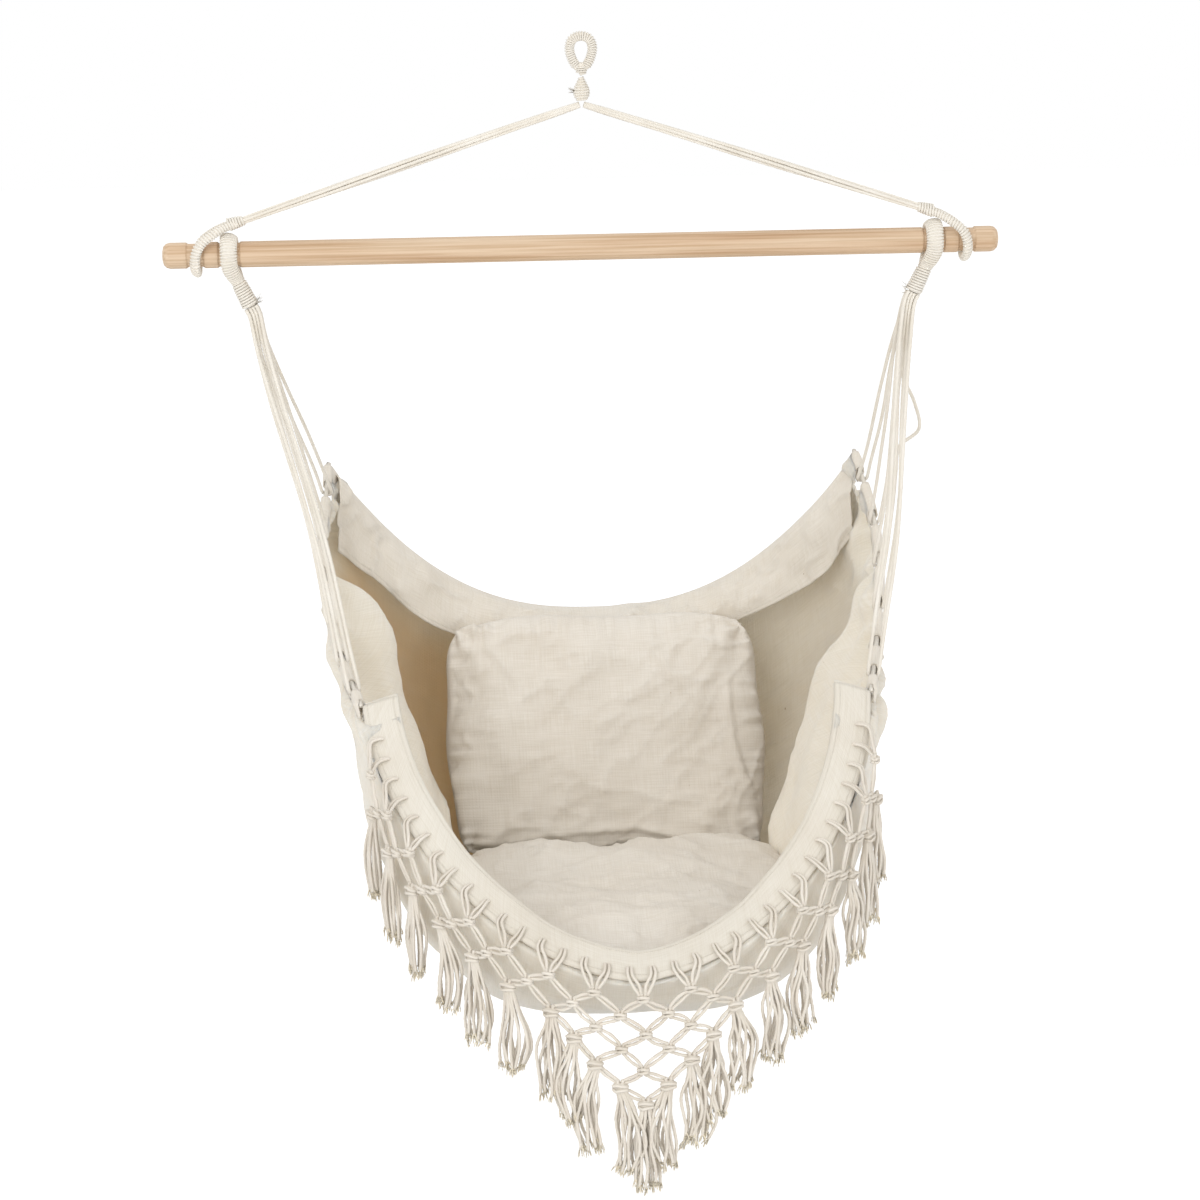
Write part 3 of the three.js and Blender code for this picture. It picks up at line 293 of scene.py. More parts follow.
# %% [markdown]
# ## Wood
#
# The bar is a dowel with its grain along its length. Noise stretched along X draws the grain, finer
# noise the pores, and a slow third one the pale and dark parts. The bar's own solid is kept as it is,
# because a turned dowel needs no other shape.

# %% Wood of the bar
wood, wood_nodes, wood_links, wood_shader = new_finish("pale_dowel_wood", 0.5)
wood_place = wood_nodes.new("ShaderNodeTexCoord").outputs["Object"]
grain = noise_node(wood_nodes, wood_links, wood_place, 95, 5, (0.035, 1, 1))
streaks = noise_node(wood_nodes, wood_links, wood_place, 420, 3, (0.012, 1, 1))
patches = noise_node(wood_nodes, wood_links, wood_place, 7, 2, (0.5, 1, 1))
grain_colours = [(0.30, (0.60, 0.40, 0.245)), (0.48, (0.73, 0.545, 0.375)), (0.7, (0.78, 0.62, 0.455))]
grain_tint = ramp_node(wood_nodes, wood_links, grain.outputs[0], grain_colours)
streak_tint = ramp_node(wood_nodes, wood_links, streaks.outputs[0],
                        [(0.36, (0.80, 0.74, 0.66)), (0.6, (1, 1, 1))])
patch_tint = ramp_node(wood_nodes, wood_links, patches.outputs[0],
                       [(0.3, (0.93, 0.9, 0.87)), (0.7, (1.0, 1.0, 1.0))])
wood_first = mix_node(wood_nodes, wood_links, "MULTIPLY", 1.0, grain_tint.outputs[0], streak_tint.outputs[0])
wood_tint = mix_node(wood_nodes, wood_links, "MULTIPLY", 1.0, wood_first.outputs[2], patch_tint.outputs[0])
wood_links.new(wood_tint.outputs[2], wood_shader.inputs["Base Color"])
wood_rough = ramp_node(wood_nodes, wood_links, streaks.outputs[0], [(0.3, (0.62,) * 3), (0.7, (0.48,) * 3)])
wood_links.new(wood_rough.outputs[0], wood_shader.inputs["Roughness"])
wood_pores = bump_node(wood_nodes, wood_links, streaks.outputs[0], 0.35, 0.25 * MM)
wood_links.new(wood_pores.outputs[0], wood_shader.inputs["Normal"])

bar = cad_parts["spreader_bar"]
bar.data.materials.clear()
bar.data.materials.append(wood)
print("the bar is", wood.name)

# %% [markdown]
# ## Canvas
#
# Sling, band, valance and cushions are sewn from one plain weave. An image of cloth could be laid on
# it, but its pixels would fix the scale. Here noise and waves draw the weave along the cloth's own UV
# map, which is laid out in metres, so nothing stretches. Thin canvas also lets light through, and a
# little subsurface scattering gives the inside of the seat its glow.
# The tan on the pocket inside the seat is painted shade.

# %% Threads of the canvas
inside_of_seat = (0.0, -0.05, -0.45)
seed_brown = (0.42, 0.31, 0.19)
# shade_tan is the colour of the painted shade in the pocket inside the seat.
shade_tan = (0.64, 0.455, 0.275)
weave_repeat = 3.6 * MM
wave_texture_repeat = math.pi / 10


def canvas_threads(nodes, links, cloth):
    """Thick and thin places in the threads across and along the cloth, as a tint."""
    weft = noise_node(nodes, links, cloth, 60, 2, (0.45, 16, 1))
    warp = noise_node(nodes, links, cloth, 60, 2, (16, 0.45, 1))
    weft_tint = ramp_node(nodes, links, weft.outputs[0], [(0.34, (0.94, 0.93, 0.91)), (0.6, (1, 1, 1))])
    warp_tint = ramp_node(nodes, links, warp.outputs[0], [(0.34, (0.95, 0.94, 0.92)), (0.6, (1, 1, 1))])
    return mix_node(nodes, links, "MULTIPLY", 1.0, weft_tint.outputs[0], warp_tint.outputs[0]).outputs[2]


def canvas_relief(nodes, links, coordinates, cloth, threads):
    """The small squares of the weave, the thick threads over them and fine creases over both."""
    waves = []
    for direction in ("X", "Y"):
        wave = nodes.new("ShaderNodeTexWave")
        wave.bands_direction = direction
        wave.inputs["Scale"].default_value = wave_texture_repeat / weave_repeat
        wave.inputs["Distortion"].default_value = 0.6
        links.new(cloth, wave.inputs["Vector"])
        waves.append(wave.outputs[1])
    weave = math_node(nodes, links, "MULTIPLY", *waves)
    weave_bump = bump_node(nodes, links, weave, 0.35, 0.3 * MM)
    thread_bump = bump_node(nodes, links, threads, 0.4, 0.35 * MM, weave_bump)
    crease_lines = noise_node(nodes, links, coordinates.outputs["Object"], 34, 5, (1, 1, 1.4))
    return bump_node(nodes, links, crease_lines.outputs[0], 0.22, 2.2 * MM, thread_bump)


print("weave repeats every", round(weave_repeat / MM, 1), "mm")

# %% Painted shade inside the seat


def inside_shade(nodes, links, coordinates):
    """Painted shade: a tan tint on the pocket, only on the face that looks towards the middle of the seat."""
    pocket = nodes.new("ShaderNodeAttribute")
    pocket.attribute_name = "pocket"
    to_middle = nodes.new("ShaderNodeVectorMath")
    to_middle.operation = "SUBTRACT"
    to_middle.inputs[0].default_value = inside_of_seat
    links.new(coordinates.outputs["Object"], to_middle.inputs[1])
    facing = nodes.new("ShaderNodeVectorMath")
    facing.operation = "DOT_PRODUCT"
    links.new(to_middle.outputs[0], facing.inputs[0])
    links.new(coordinates.outputs["Normal"], facing.inputs[1])
    seen_inside = math_node(nodes, links, "GREATER_THAN", facing.outputs["Value"], 0.0)
    return math_node(nodes, links, "MULTIPLY", pocket.outputs["Fac"], seen_inside)

# %% Canvas finishes


def canvas_finish(name, light, dark, glow=0.0):
    """Woven cotton; glow is the share of light that goes into the thin cloth and through it."""
    finish, nodes, links, shader = new_finish(name, 0.9)
    coordinates = nodes.new("ShaderNodeTexCoord")
    cloth = nodes.new("ShaderNodeUVMap").outputs[0]
    patches = noise_node(nodes, links, coordinates.outputs["Object"], 9, 4)
    tint = ramp_node(nodes, links, patches.outputs[0], [(0.3, dark), (0.68, light)])
    threads = canvas_threads(nodes, links, cloth)
    woven = mix_node(nodes, links, "MULTIPLY", 1.0, tint.outputs[0], threads)
    flecks = noise_node(nodes, links, cloth, 210, 1, (1, 0.6, 1))
    fleck_spots = ramp_node(nodes, links, flecks.outputs[0], [(0.80, (0, 0, 0)), (0.83, (1, 1, 1))])
    flecked = mix_node(nodes, links, "MIX", fleck_spots.outputs[0], woven.outputs[2], seed_brown)
    in_shade = inside_shade(nodes, links, coordinates)
    # Paints the shade: the pocket's tan laid over the cloth's own colour.
    shaded = mix_node(nodes, links, "MIX", in_shade, flecked.outputs[2], shade_tan)
    links.new(shaded.outputs[2], shader.inputs["Base Color"])
    relief = canvas_relief(nodes, links, coordinates, cloth, threads)
    links.new(relief.outputs[0], shader.inputs["Normal"])
    shader.inputs["Sheen Weight"].default_value = 0.15
    shader.inputs["Sheen Roughness"].default_value = 0.5
    shader.inputs["Specular IOR Level"].default_value = 0.15
    shader.inputs["Subsurface Weight"].default_value = glow
    shader.inputs["Subsurface Radius"].default_value = (1.0, 0.92, 0.82)
    shader.inputs["Subsurface Scale"].default_value = 6 * MM
    print(name, "glow", glow)
    return finish


sling_canvas = canvas_finish("undyed_canvas", (0.81, 0.76, 0.68), (0.765, 0.705, 0.615), glow=0.8)
turned_canvas = canvas_finish("turned_canvas", (0.84, 0.785, 0.70), (0.795, 0.735, 0.645), glow=0.2)
band_canvas = canvas_finish("band_canvas", (0.79, 0.75, 0.67), (0.755, 0.705, 0.62))
cushion_canvas = canvas_finish("cushion_canvas", (0.83, 0.785, 0.715), (0.79, 0.735, 0.655))

# %% [markdown]
# ## The lines of the CAD model
#
# The cloth and the cords follow the same few curves as the solids: the side edge of the sling, its
# middle line and the way each cross-section comes down between them. They are written again here in
# millimetres, with the same names as in the part's source.

# %% A smooth curve through points


class SmoothCurve:
    """A smooth curve through all its points, in millimetres, that makes no loops where they lie close."""

    def __init__(self, points, samples=600):
        self.points = np.array(points, float)
        self.shares = np.linspace(0, 1, samples + 1)
        self.dense = np.array([self.between(share) for share in self.shares])
        steps = np.linalg.norm(np.diff(self.dense, axis=0), axis=1)
        self.reached = np.concatenate([[0], np.cumsum(steps)])
        self.length = self.reached[-1]

    def between(self, share):
        p = self.points
        last = len(p) - 1
        i = min(int(share * last), last - 1)
        w = share * last - i
        p0 = p[i - 1] if i > 0 else 2 * p[0] - p[1]
        p1, p2 = p[i], p[i + 1]
        p3 = p[i + 2] if i + 2 <= last else 2 * p[-1] - p[-2]
        d0, d1, d2 = (max(np.linalg.norm(b - a), 1e-9) ** 0.5 for a, b in ((p0, p1), (p1, p2), (p2, p3)))
        t1 = ((p1 - p0) / d0 - (p2 - p0) / (d0 + d1) + (p2 - p1) / d1) * d1
        t2 = ((p2 - p1) / d1 - (p3 - p1) / (d1 + d2) + (p3 - p2) / d2) * d1
        return p1 + t1 * w + (3 * (p2 - p1) - 2 * t1 - t2) * w**2 + (2 * (p1 - p2) + t1 + t2) * w**3

    def at_length(self, lengths):
        lengths = np.asarray(lengths, float)
        return np.stack([np.interp(lengths, self.reached, self.dense[:, k]) for k in range(3)], -1)

    def at(self, shares):
        return self.at_length(np.asarray(shares, float) * self.length)

    def by_parameter(self, shares):
        shares = np.asarray(shares, float)
        return np.stack([np.interp(shares, self.shares, self.dense[:, k]) for k in range(3)], -1)

    def direction(self, share):
        step = self.at(min(share + 0.004, 1)) - self.at(max(share - 0.004, 0))
        return step / np.linalg.norm(step)


def smooth_step(value, low, high):
    share = np.clip((value - low) / (high - low), 0, 1)
    return share * share * (3 - 2 * share)


def mix(a, b, share):
    return a + (b - a) * share


def unit(vector):
    return vector / np.linalg.norm(vector)

# %% The sling's side edge and middle line
bar_z = -218
back_corner = np.array([308, 184, bar_z - 278])
front_corner = np.array([275, -143, bar_z - 462])
edge_bulge = 19
sling_depth, back_middle_y, front_tip_y = 816, 264, -376
edge_shares = [(0, 0, 0), (0.26, 0.42, 1), (0.63, 0.83, 0.7), (1, 1, 0)]
edge_curve = SmoothCurve([(
    mix(back_corner[0], front_corner[0], forward) + edge_bulge * bulge,
    mix(back_corner[1], front_corner[1], forward),
    mix(back_corner[2], front_corner[2], down)) for forward, down, bulge in edge_shares])
middle_shares = [(0, 0.59), (-0.024, 0.687), (0.024, 0.81), (0.133, 0.914), (0.32, 0.981),
                 (0.54, 1), (0.76, 0.972), (0.915, 0.91), (1, 0.854)]
middle_curve = SmoothCurve([
    (0, mix(back_middle_y, front_tip_y, forward), bar_z - down * sling_depth)
    for forward, down in middle_shares])
crest_shares = np.array([(0, 2.5, 1), (0.2, 3.4, 0.55), (0.8, 3.3, 0.52), (1, 1.75, 0.571)])
print("side edge", round(edge_curve.length), "mm, middle line", round(middle_curve.length), "mm")

# %% Points on the sling
side_fold_height, side_pocket_depth = 26, 9


def section_drop(across, along):
    power = np.interp(along, crest_shares[:, 0], crest_shares[:, 1])
    root = np.interp(along, crest_shares[:, 0], crest_shares[:, 2])
    return np.maximum(0, 1 - np.abs(across) ** power) ** root


def fold_rise(angle, along):
    """How far the fold in each side of the sling leans in: a ridge, with a shallow pocket behind it."""
    from_edge = 1 - np.abs(angle)
    ridge = np.where(angle < 0, 0.32 + 0.5 * from_edge, 0.62 + 0.12 * from_edge)
    swell = np.exp(-((along - ridge) / 0.1) ** 2)
    pocket = np.exp(-((along - ridge + 0.2) / 0.1) ** 2)
    reach = smooth_step(from_edge, 0.02, 0.17) * (1 - smooth_step(from_edge, 0.32, 0.52))
    return reach * (side_fold_height * swell - side_pocket_depth * pocket)


def sling_point(angle, along):
    """A point of the cloth: angle from -1 to 1 across it, along from 0 at the back to 1 in front."""
    angle, along = np.broadcast_arrays(np.asarray(angle, float), np.asarray(along, float))
    across = np.sin(np.pi / 2 * angle)
    edge, middle = edge_curve.at(along), middle_curve.by_parameter(along)
    drop = section_drop(across, along)
    point = np.stack([across * edge[..., 0], mix(edge[..., 1], middle[..., 1], drop),
                      mix(edge[..., 2], middle[..., 2], drop)], -1)
    inward = np.stack([-point[..., 0], 0 * drop, edge[..., 2] - point[..., 2]], -1)
    inward /= np.maximum(np.linalg.norm(inward, axis=-1, keepdims=True), 1e-6)
    return point + inward * fold_rise(angle, along)[..., None]

# %% Points on the front band
band_width, band_tip_width, band_tip_slope = 56, 42, math.radians(25)
rim_corner = edge_curve.at(1) + band_width * np.array([-0.7, 0.06, 0.2])
rim_tip = middle_curve.by_parameter(1) + band_tip_width * np.array(
    [0, math.cos(band_tip_slope), math.sin(band_tip_slope)])


def rim_point(angle, inward):
    """A point of the band's strip, inward from 0 at the sling's front edge to 1."""
    angle, inward = np.broadcast_arrays(np.asarray(angle, float), np.asarray(inward, float))
    across = np.sin(np.pi / 2 * angle)
    drop = section_drop(across, np.ones_like(across))
    inner = np.stack([across * rim_corner[0], mix(rim_corner[1], rim_tip[1], drop),
                      mix(rim_corner[2], rim_tip[2], drop)], -1)
    return mix(sling_point(angle, 1), inner, inward[..., None])


print("the band's inner corner at", [round(float(x)) for x in rim_corner], "mm")

# %% [markdown]
# ## Making meshes
#
# A twisted cord is three strands laid round each other. A Blender curve with a round bevel would be
# quicker, but it gives a smooth pipe. Here the mesh is a ring with three crests that turns as it goes
# along the cord, so the strands are really there and catch the light. A winding is the same cord on
# a helix round another line.

# %% New pieces
both_sides = (("left", -1), ("right", 1))
seat_lean, tip_lean = 21, 9


def leaned(points):
    """The hanging seat swings a little to the right of the bar, more the lower a point lies."""
    points = np.array(points, float)
    points[..., 0] += seat_lean * smooth_step(-points[..., 2], 290, 560)
    points[..., 0] += tip_lean * smooth_step(-points[..., 2], 600, 1000)
    return points


def new_piece(name, points, faces, material, uv=None):
    mesh = bpy.data.meshes.new(name)
    mesh.from_pydata((leaned(points) * MM).tolist(), [], faces)
    mesh.materials.append(material)
    mesh.polygons.foreach_set("use_smooth", [True] * len(mesh.polygons))
    if uv is not None:
        corners = np.empty(len(mesh.loops), int)
        mesh.loops.foreach_get("vertex_index", corners)
        layer = mesh.uv_layers.new(name="cloth")
        layer.data.foreach_set("uv", (np.asarray(uv)[corners] * MM).ravel())
    mesh.validate()
    piece = bpy.data.objects.new(name, mesh)
    bpy.context.scene.collection.objects.link(piece)
    return piece


class Bundle:
    """Meshes gathered to become one piece."""

    def __init__(self):
        self.points, self.faces, self.count = [], [], 0

    def add(self, points, faces):
        self.points.append(np.asarray(points))
        self.faces.extend([tuple(i + self.count for i in face) for face in faces])
        self.count += len(points)

    def piece(self, name, material):
        return new_piece(name, np.concatenate(self.points), self.faces, material)


def body_piece(piece, body, *nodes):
    """Lets a piece move with a body of the CAD model, in place of the solids that it dresses."""
    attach(piece, body)
    if nodes:
        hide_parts(*nodes)
    return piece

# %% Paths


def resampled(points, step):
    """Points at even steps along a line of straight parts, and how far along it each is."""
    points = np.asarray(points, float)
    steps = np.linalg.norm(np.diff(points, axis=0), axis=1)
    reached = np.concatenate([[0], np.cumsum(steps)])
    count = max(3, int(reached[-1] / step) + 1)
    lengths = np.linspace(0, reached[-1], count)
    return np.stack([np.interp(lengths, reached, points[:, k]) for k in range(3)], -1), lengths


def smooth_path(points, step):
    curve = SmoothCurve(points, samples=max(12, 10 * len(points)))
    return curve.at_length(np.arange(0, curve.length + step / 2, step))


def sides_along(path, first=None):
    """Two directions square to a path and to each other, which turn as little as possible."""
    ahead = np.gradient(path, axis=0)
    ahead /= np.maximum(np.linalg.norm(ahead, axis=1), 1e-9)[:, None]
    side = np.array(first if first is not None else (1.0, 0.3, 0.2), float)
    sides = np.empty_like(path)
    for i, way in enumerate(ahead):
        side = side - way * np.dot(side, way)
        side = side / math.sqrt(np.dot(side, side))
        sides[i] = side
    return sides, np.cross(ahead, sides)


def ring_faces(rings, count):
    faces = []
    for r in range(rings - 1):
        low, high = r * count, (r + 1) * count
        faces += [(low + k, low + (k + 1) % count, high + (k + 1) % count, high + k) for k in range(count)]
    faces.append(tuple(range(count))[::-1])
    faces.append(tuple((rings - 1) * count + k for k in range(count)))
    return faces


def spaced(values, shares):
    """Half sizes given at even places along a line, read off at shares of its length."""
    return np.interp(shares, np.linspace(0, 1, np.size(values)), np.atleast_1d(values))


def add_rings(bundle, path, aside, upward, sides):
    """Rings of points square to a path, joined into one closed skin."""
    side, other = sides
    ring = path[:, None, :] + aside[..., None] * side[:, None, :]
    ring = ring + upward[..., None] * other[:, None, :]
    bundle.add(ring.reshape(-1, 3), ring_faces(len(path), ring.shape[1]))

# %% Cords, tubes and windings
winding_points_per_turn = 16


def twisted_cord(bundle, points, diameter, lay, step, valley=0.82, end_share=1.0):
    """Three strands laid round each other along points; lay is the length of one turn."""
    path, lengths = resampled(points, step)
    count = 6
    crest = np.where(np.arange(count) % 2 == 0, 1.0, valley) * diameter / 2
    turn = 2 * np.pi * lengths[:, None] / lay + np.pi * np.arange(count)[None, :] / 3
    size = np.ones(len(path))
    size[-1] = end_share
    radius = crest[None, :] * size[:, None]
    add_rings(bundle, path, radius * np.cos(turn), radius * np.sin(turn), sides_along(path))


def smooth_tube(bundle, points, half_wide, half_deep, side=None, step=1.6, count=12):
    """A plain tube, its half sizes single values or one value for each of some even places."""
    path, _ = resampled(points, step)
    share = np.linspace(0, 1, len(path))
    wide, deep = spaced(half_wide, share), spaced(half_deep, share)
    turn = 2 * np.pi * np.arange(count) / count
    aside, upward = wide[:, None] * np.cos(turn), deep[:, None] * np.sin(turn)
    add_rings(bundle, path, aside, upward, sides_along(path, side))


def winding_path(points, half_wide, half_deep, pitch, side):
    """The helix that a cord follows round a line."""
    path, lengths = resampled(points, pitch / winding_points_per_turn)
    share = lengths / lengths[-1]
    wide, deep = spaced(half_wide, share), spaced(half_deep, share)
    across, other = sides_along(path, side)
    turn = 2 * np.pi * lengths / pitch
    return path + (wide * np.cos(turn))[:, None] * across + (deep * np.sin(turn))[:, None] * other


def wound_core(bundle, line, core, cover, pitch, side, diameter, lay, step, valley=0.82):
    """A plain core with a cord wound closely round it; core and cover are pairs of half sizes."""
    smooth_tube(bundle, line, *core, side)
    winding = winding_path(line, *cover, pitch, side)
    twisted_cord(bundle, winding, diameter, lay, step, valley)

# %% Loose fibres, stitches and cords that wander a little


def add_fibre(bundle, start, tip, bow, diameter, step):
    """A loose fibre from start to tip, bowed in the middle and thinner at its end."""
    line = [start, mix(start, tip, 0.5) + bow, tip]
    twisted_cord(bundle, line, diameter, lay=3, step=step, end_share=0.3)


def sew(bundle, seam, share, radius, lifted=0.0):
    """Stitches along a seam, each over a share of the way from one point to the next."""
    for start, end in zip(seam[:-1], seam[1:]):
        first, last = start + lifted, mix(start, end, share) + lifted
        smooth_tube(bundle, [first, mix(first, last, 0.5), last], radius, radius, step=1.0, count=5)


def wobble(path, size, grain, seed):
    """Moves a path's points a little, smoothly, with its ends kept."""
    fade = np.sin(np.linspace(0, np.pi, len(path))) ** 0.5
    moved = np.array(path, float)
    for i, point in enumerate(path):
        shift = noise.noise_vector(Vector(point / grain) + Vector((seed, 2 * seed, -seed)))
        moved[i] += np.array(shift) * size * fade[i]
    return moved

# %% [markdown]
# ## The wrapped eye and the binding under it
#
# The eye is a loop of strands served with a cotton cord: turn lies beside turn all the way round, so
# nothing of the strands shows. A bump texture could draw the turns, but they would vanish at the
# outline, so a cord is really wound on. Below it the legs of the loop are pinched together, and a fatter
# binding gathers the bridle's cords. The end of the binding is left as a small tuft.

# %% Eye
eye_core_diameter, eye_hole_width, eye_hole_height = 7.6, 13, 20
eye_rope_radius = eye_core_diameter / 2 + 1.9
eye_side_x = eye_hole_width / 2 + eye_rope_radius
eye_half = [(eye_core_diameter / 2, 0, -eye_hole_height - eye_core_diameter),
            (0.72 * eye_side_x, 0, -eye_hole_height), (eye_side_x, 0, -0.35 * eye_hole_height),
            (0.72 * eye_side_x, 0, 0.45 * eye_rope_radius)]
eye_line = eye_half + [(0, 0, eye_rope_radius)] + [(-x, y, z) for x, y, z in reversed(eye_half)]
eye_path = smooth_path(eye_line, 1.0)

eye_strands = Bundle()
smooth_tube(eye_strands, eye_path, eye_core_diameter / 2, eye_core_diameter / 2, (0, 1, 0))
neck_pivot_z = -eye_hole_height - 16
smooth_tube(eye_strands, [(0, 0, -eye_hole_height - 2), (0, 0, neck_pivot_z + 0.4)],
            [3.0, 6.3, 5.6, 4.6, 3.0, 1.2], [3.0, 4.5, 4.6, 4.3, 3.0, 1.2], (1, 0, 0))
body_piece(eye_strands.piece("eye_strands", cord_cotton), "eye", "eye_core")

serving_diameter = 2.3
serving_pitch = serving_diameter * 1.02
serving_radius = eye_core_diameter / 2 + 0.55
served_part = eye_path[2:-2]
eye_serving = Bundle()
serving_line = winding_path(served_part, serving_radius, serving_radius, serving_pitch, (0, 1, 0))
twisted_cord(eye_serving, serving_line, serving_diameter, lay=4.5, step=1.0, valley=0.84)
pinch_line = winding_path([(0, 0, -eye_hole_height - 6), (0, 0, neck_pivot_z + 2.2)],
                          [6.4, 5.4, 4.4], [5.6, 5.0, 4.2], serving_pitch, (1, 0, 0))
twisted_cord(eye_serving, pinch_line, serving_diameter, lay=4.5, step=1.0, valley=0.84)
body_piece(eye_serving.piece("eye_serving", cord_cotton), "eye", "eye_whipping")
served_length = np.linalg.norm(np.diff(served_part, axis=0), axis=1).sum()
print("eye served with", round(served_length / serving_pitch), "turns")

# %% Neck binding and its tuft
binding_top_z, binding_length = neck_pivot_z - 0.2, 27
binding_radius = 10
profile_shares = [(0.30, 0.03), (0.50, 0.12), (0.70, 0.30), (0.90, 0.5), (0.94, 0.66), (0.84, 0.82),
                  (0.55, 0.94)]
binding_radii = np.array([out for out, _ in profile_shares]) * binding_radius
binding_line = [(0, 0, binding_top_z - 1.4), (0, 0, binding_top_z - binding_length + 1.6)]
binding_pitch, binding_cord_diameter = 2.75, 2.7
binding = Bundle()
wound_core(binding, binding_line, [binding_radii - 1.3] * 2, [binding_radii - 1.2] * 2, binding_pitch,
           (1, 0, 0), binding_cord_diameter, lay=5.5, step=1.1, valley=0.84)
tuft_root = np.array([-6.5, -2, binding_top_z - 17.0])
tuft_rng = random.Random(3)
for _ in range(16):
    start = tuft_root + [0, tuft_rng.uniform(-1.5, 1.5), tuft_rng.uniform(-1, 1)]
    tip = start + [-tuft_rng.uniform(4, 8), -tuft_rng.uniform(-2, 3), tuft_rng.uniform(-1, 6)]
    add_fibre(binding, start, tip, [0, 0, 1], 0.7, step=1.5)
body_piece(binding.piece("neck_wrapping", cord_cotton), "neck", "neck_binding")
print("neck bound with", round(binding_length / binding_pitch), "turns")

# %% [markdown]
# ## Bridle and loops
#
# Six cords on each side run from the neck to a sleeve. The sleeve opens into a served loop that passes
# over the suspension loop and goes round the bar in its groove. The suspension loop is the thick
# served ring that carries the seat's cords. It closes into a neck wound with about nine close turns.
# Straight cords would look like a rod, so each of the six wanders round the others on its way.

# %% Bridle cords
groove_radius = 12.5
bridle_loop_x, bridle_meet_x, bridle_meet_rise = 415, 371, 34
bridle_cord_diameter, bridle_cord_count = 3.9, 6
bundle_half_deep, bundle_half_high = 4.2, 2.9
binding_bottom_z = binding_top_z - binding_length
spread_shares = [(0, 0.55), (0.05, 0.8), (0.3, 1.1), (0.5, 1.25), (0.75, 1.1), (0.96, 0.85), (1, 0.75)]
for side, sign in both_sides:
    bundle = Bundle()
    inner = np.array([sign * 2.2, 0, binding_bottom_z - 2.9])
    outer = np.array([sign * (bridle_meet_x + 2), 0, bar_z + bridle_meet_rise - 1])
    along = unit(outer - inner)
    lift = np.cross(along, [0, 1, 0])
    lift = lift if lift[2] > 0 else -lift
    for number in range(bridle_cord_count):
        angle = 2 * math.pi * (number + 0.3) / bridle_cord_count
        rows = []
        for share, spread in spread_shares:
            turn = angle + 1.1 * (share - 0.5) + 0.25 * math.sin(5 * share + number)
            rows.append(mix(inner, outer, share)
                        + np.array([0, 1, 0]) * bundle_half_deep * spread * math.cos(turn)
                        + lift * bundle_half_high * spread * math.sin(turn))
        twisted_cord(bundle, smooth_path(rows, 3), bridle_cord_diameter, lay=10.5, step=1.5)
    body_piece(bundle.piece(f"bridle_strands_{side}", cord_cotton), "bridle", f"bridle_cords_{side}")
    print(side, "bridle cords", round(float(np.linalg.norm(outer - inner))), "mm long")

# %% Served loops round the bar
bridle_leg_shares = [(0, 0, 0.033, 0.66), (0.24, 0.1, 0.067, 0.7), (0.56, 0.42, 0.161, 0.8),
                     (0.86, 0.8, 0.294, 0.9), (0.97, 1, 0.456, 1), (1, 1, 0.633, 1), (1, 1, 0.822, 1),
                     (1, 1, 1, 1)]
bridle_loop_half_wide, bridle_loop_half_deep = 6.4, 4.4
bridle_ring_radius, bridle_over_radius = groove_radius + 5.4, bridle_meet_rise - 2
for side, sign in both_sides:
    front_leg = []
    for outwards, inwards, turn, _ in bridle_leg_shares:
        radius = mix(bridle_over_radius, bridle_ring_radius, inwards)
        front_leg.append((sign * mix(bridle_meet_x, bridle_loop_x, outwards),
                          -radius * math.sin(math.pi * turn), bar_z + radius * math.cos(math.pi * turn)))
    back_leg = [(x, -y, z) for x, y, z in reversed(front_leg[:-1])]
    line = smooth_path(front_leg + back_leg, 1.5)
    widths = [share for *_, share in bridle_leg_shares]
    wide = np.array(widths + widths[-2::-1]) * bridle_loop_half_wide
    deep = np.full(len(wide), bridle_loop_half_deep)
    loop = Bundle()
    wound_core(loop, line, (wide - 1.2, deep - 1.1), (wide - 0.9, deep - 0.9), 3.2, (1, 0, 0),
               3.0, lay=6.5, step=1.2)
    meet = np.array([sign * bridle_meet_x, 0, bar_z + bridle_meet_rise])
    sleeve_way = unit(np.array([sign * 22.0, 0, -6.0]))
    sleeve = [meet - sleeve_way * 9, meet + sleeve_way * 8]
    wound_core(loop, sleeve, ([4.2, 6.0, 6.4], [3.8, 5.0, 5.4]), ([5.0, 7.0, 7.6], [4.4, 5.6, 6.2]), 2.9,
               (0, 1, 0), 2.8, lay=6, step=1.2)
    body_piece(loop.piece(f"served_bridle_loop_{side}", cord_cotton), "bridle", f"bridle_loop_{side}")
    print(side, "bridle loop", len(line), "points round the bar")

# %% Suspension loops and their wound necks
loop_x, neck_drop, neck_lean, neck_length = 379, 56, 20, 26
neck_cord_diameter = 2.9
neck_rng = random.Random(11)


def neck_point(sign, drop):
    """The middle of a suspension loop's neck, a drop below the bar's middle."""
    lean = neck_lean * max(0, drop - groove_radius) / (neck_drop - groove_radius)
    return np.array([sign * (loop_x - lean), 0, bar_z - drop])


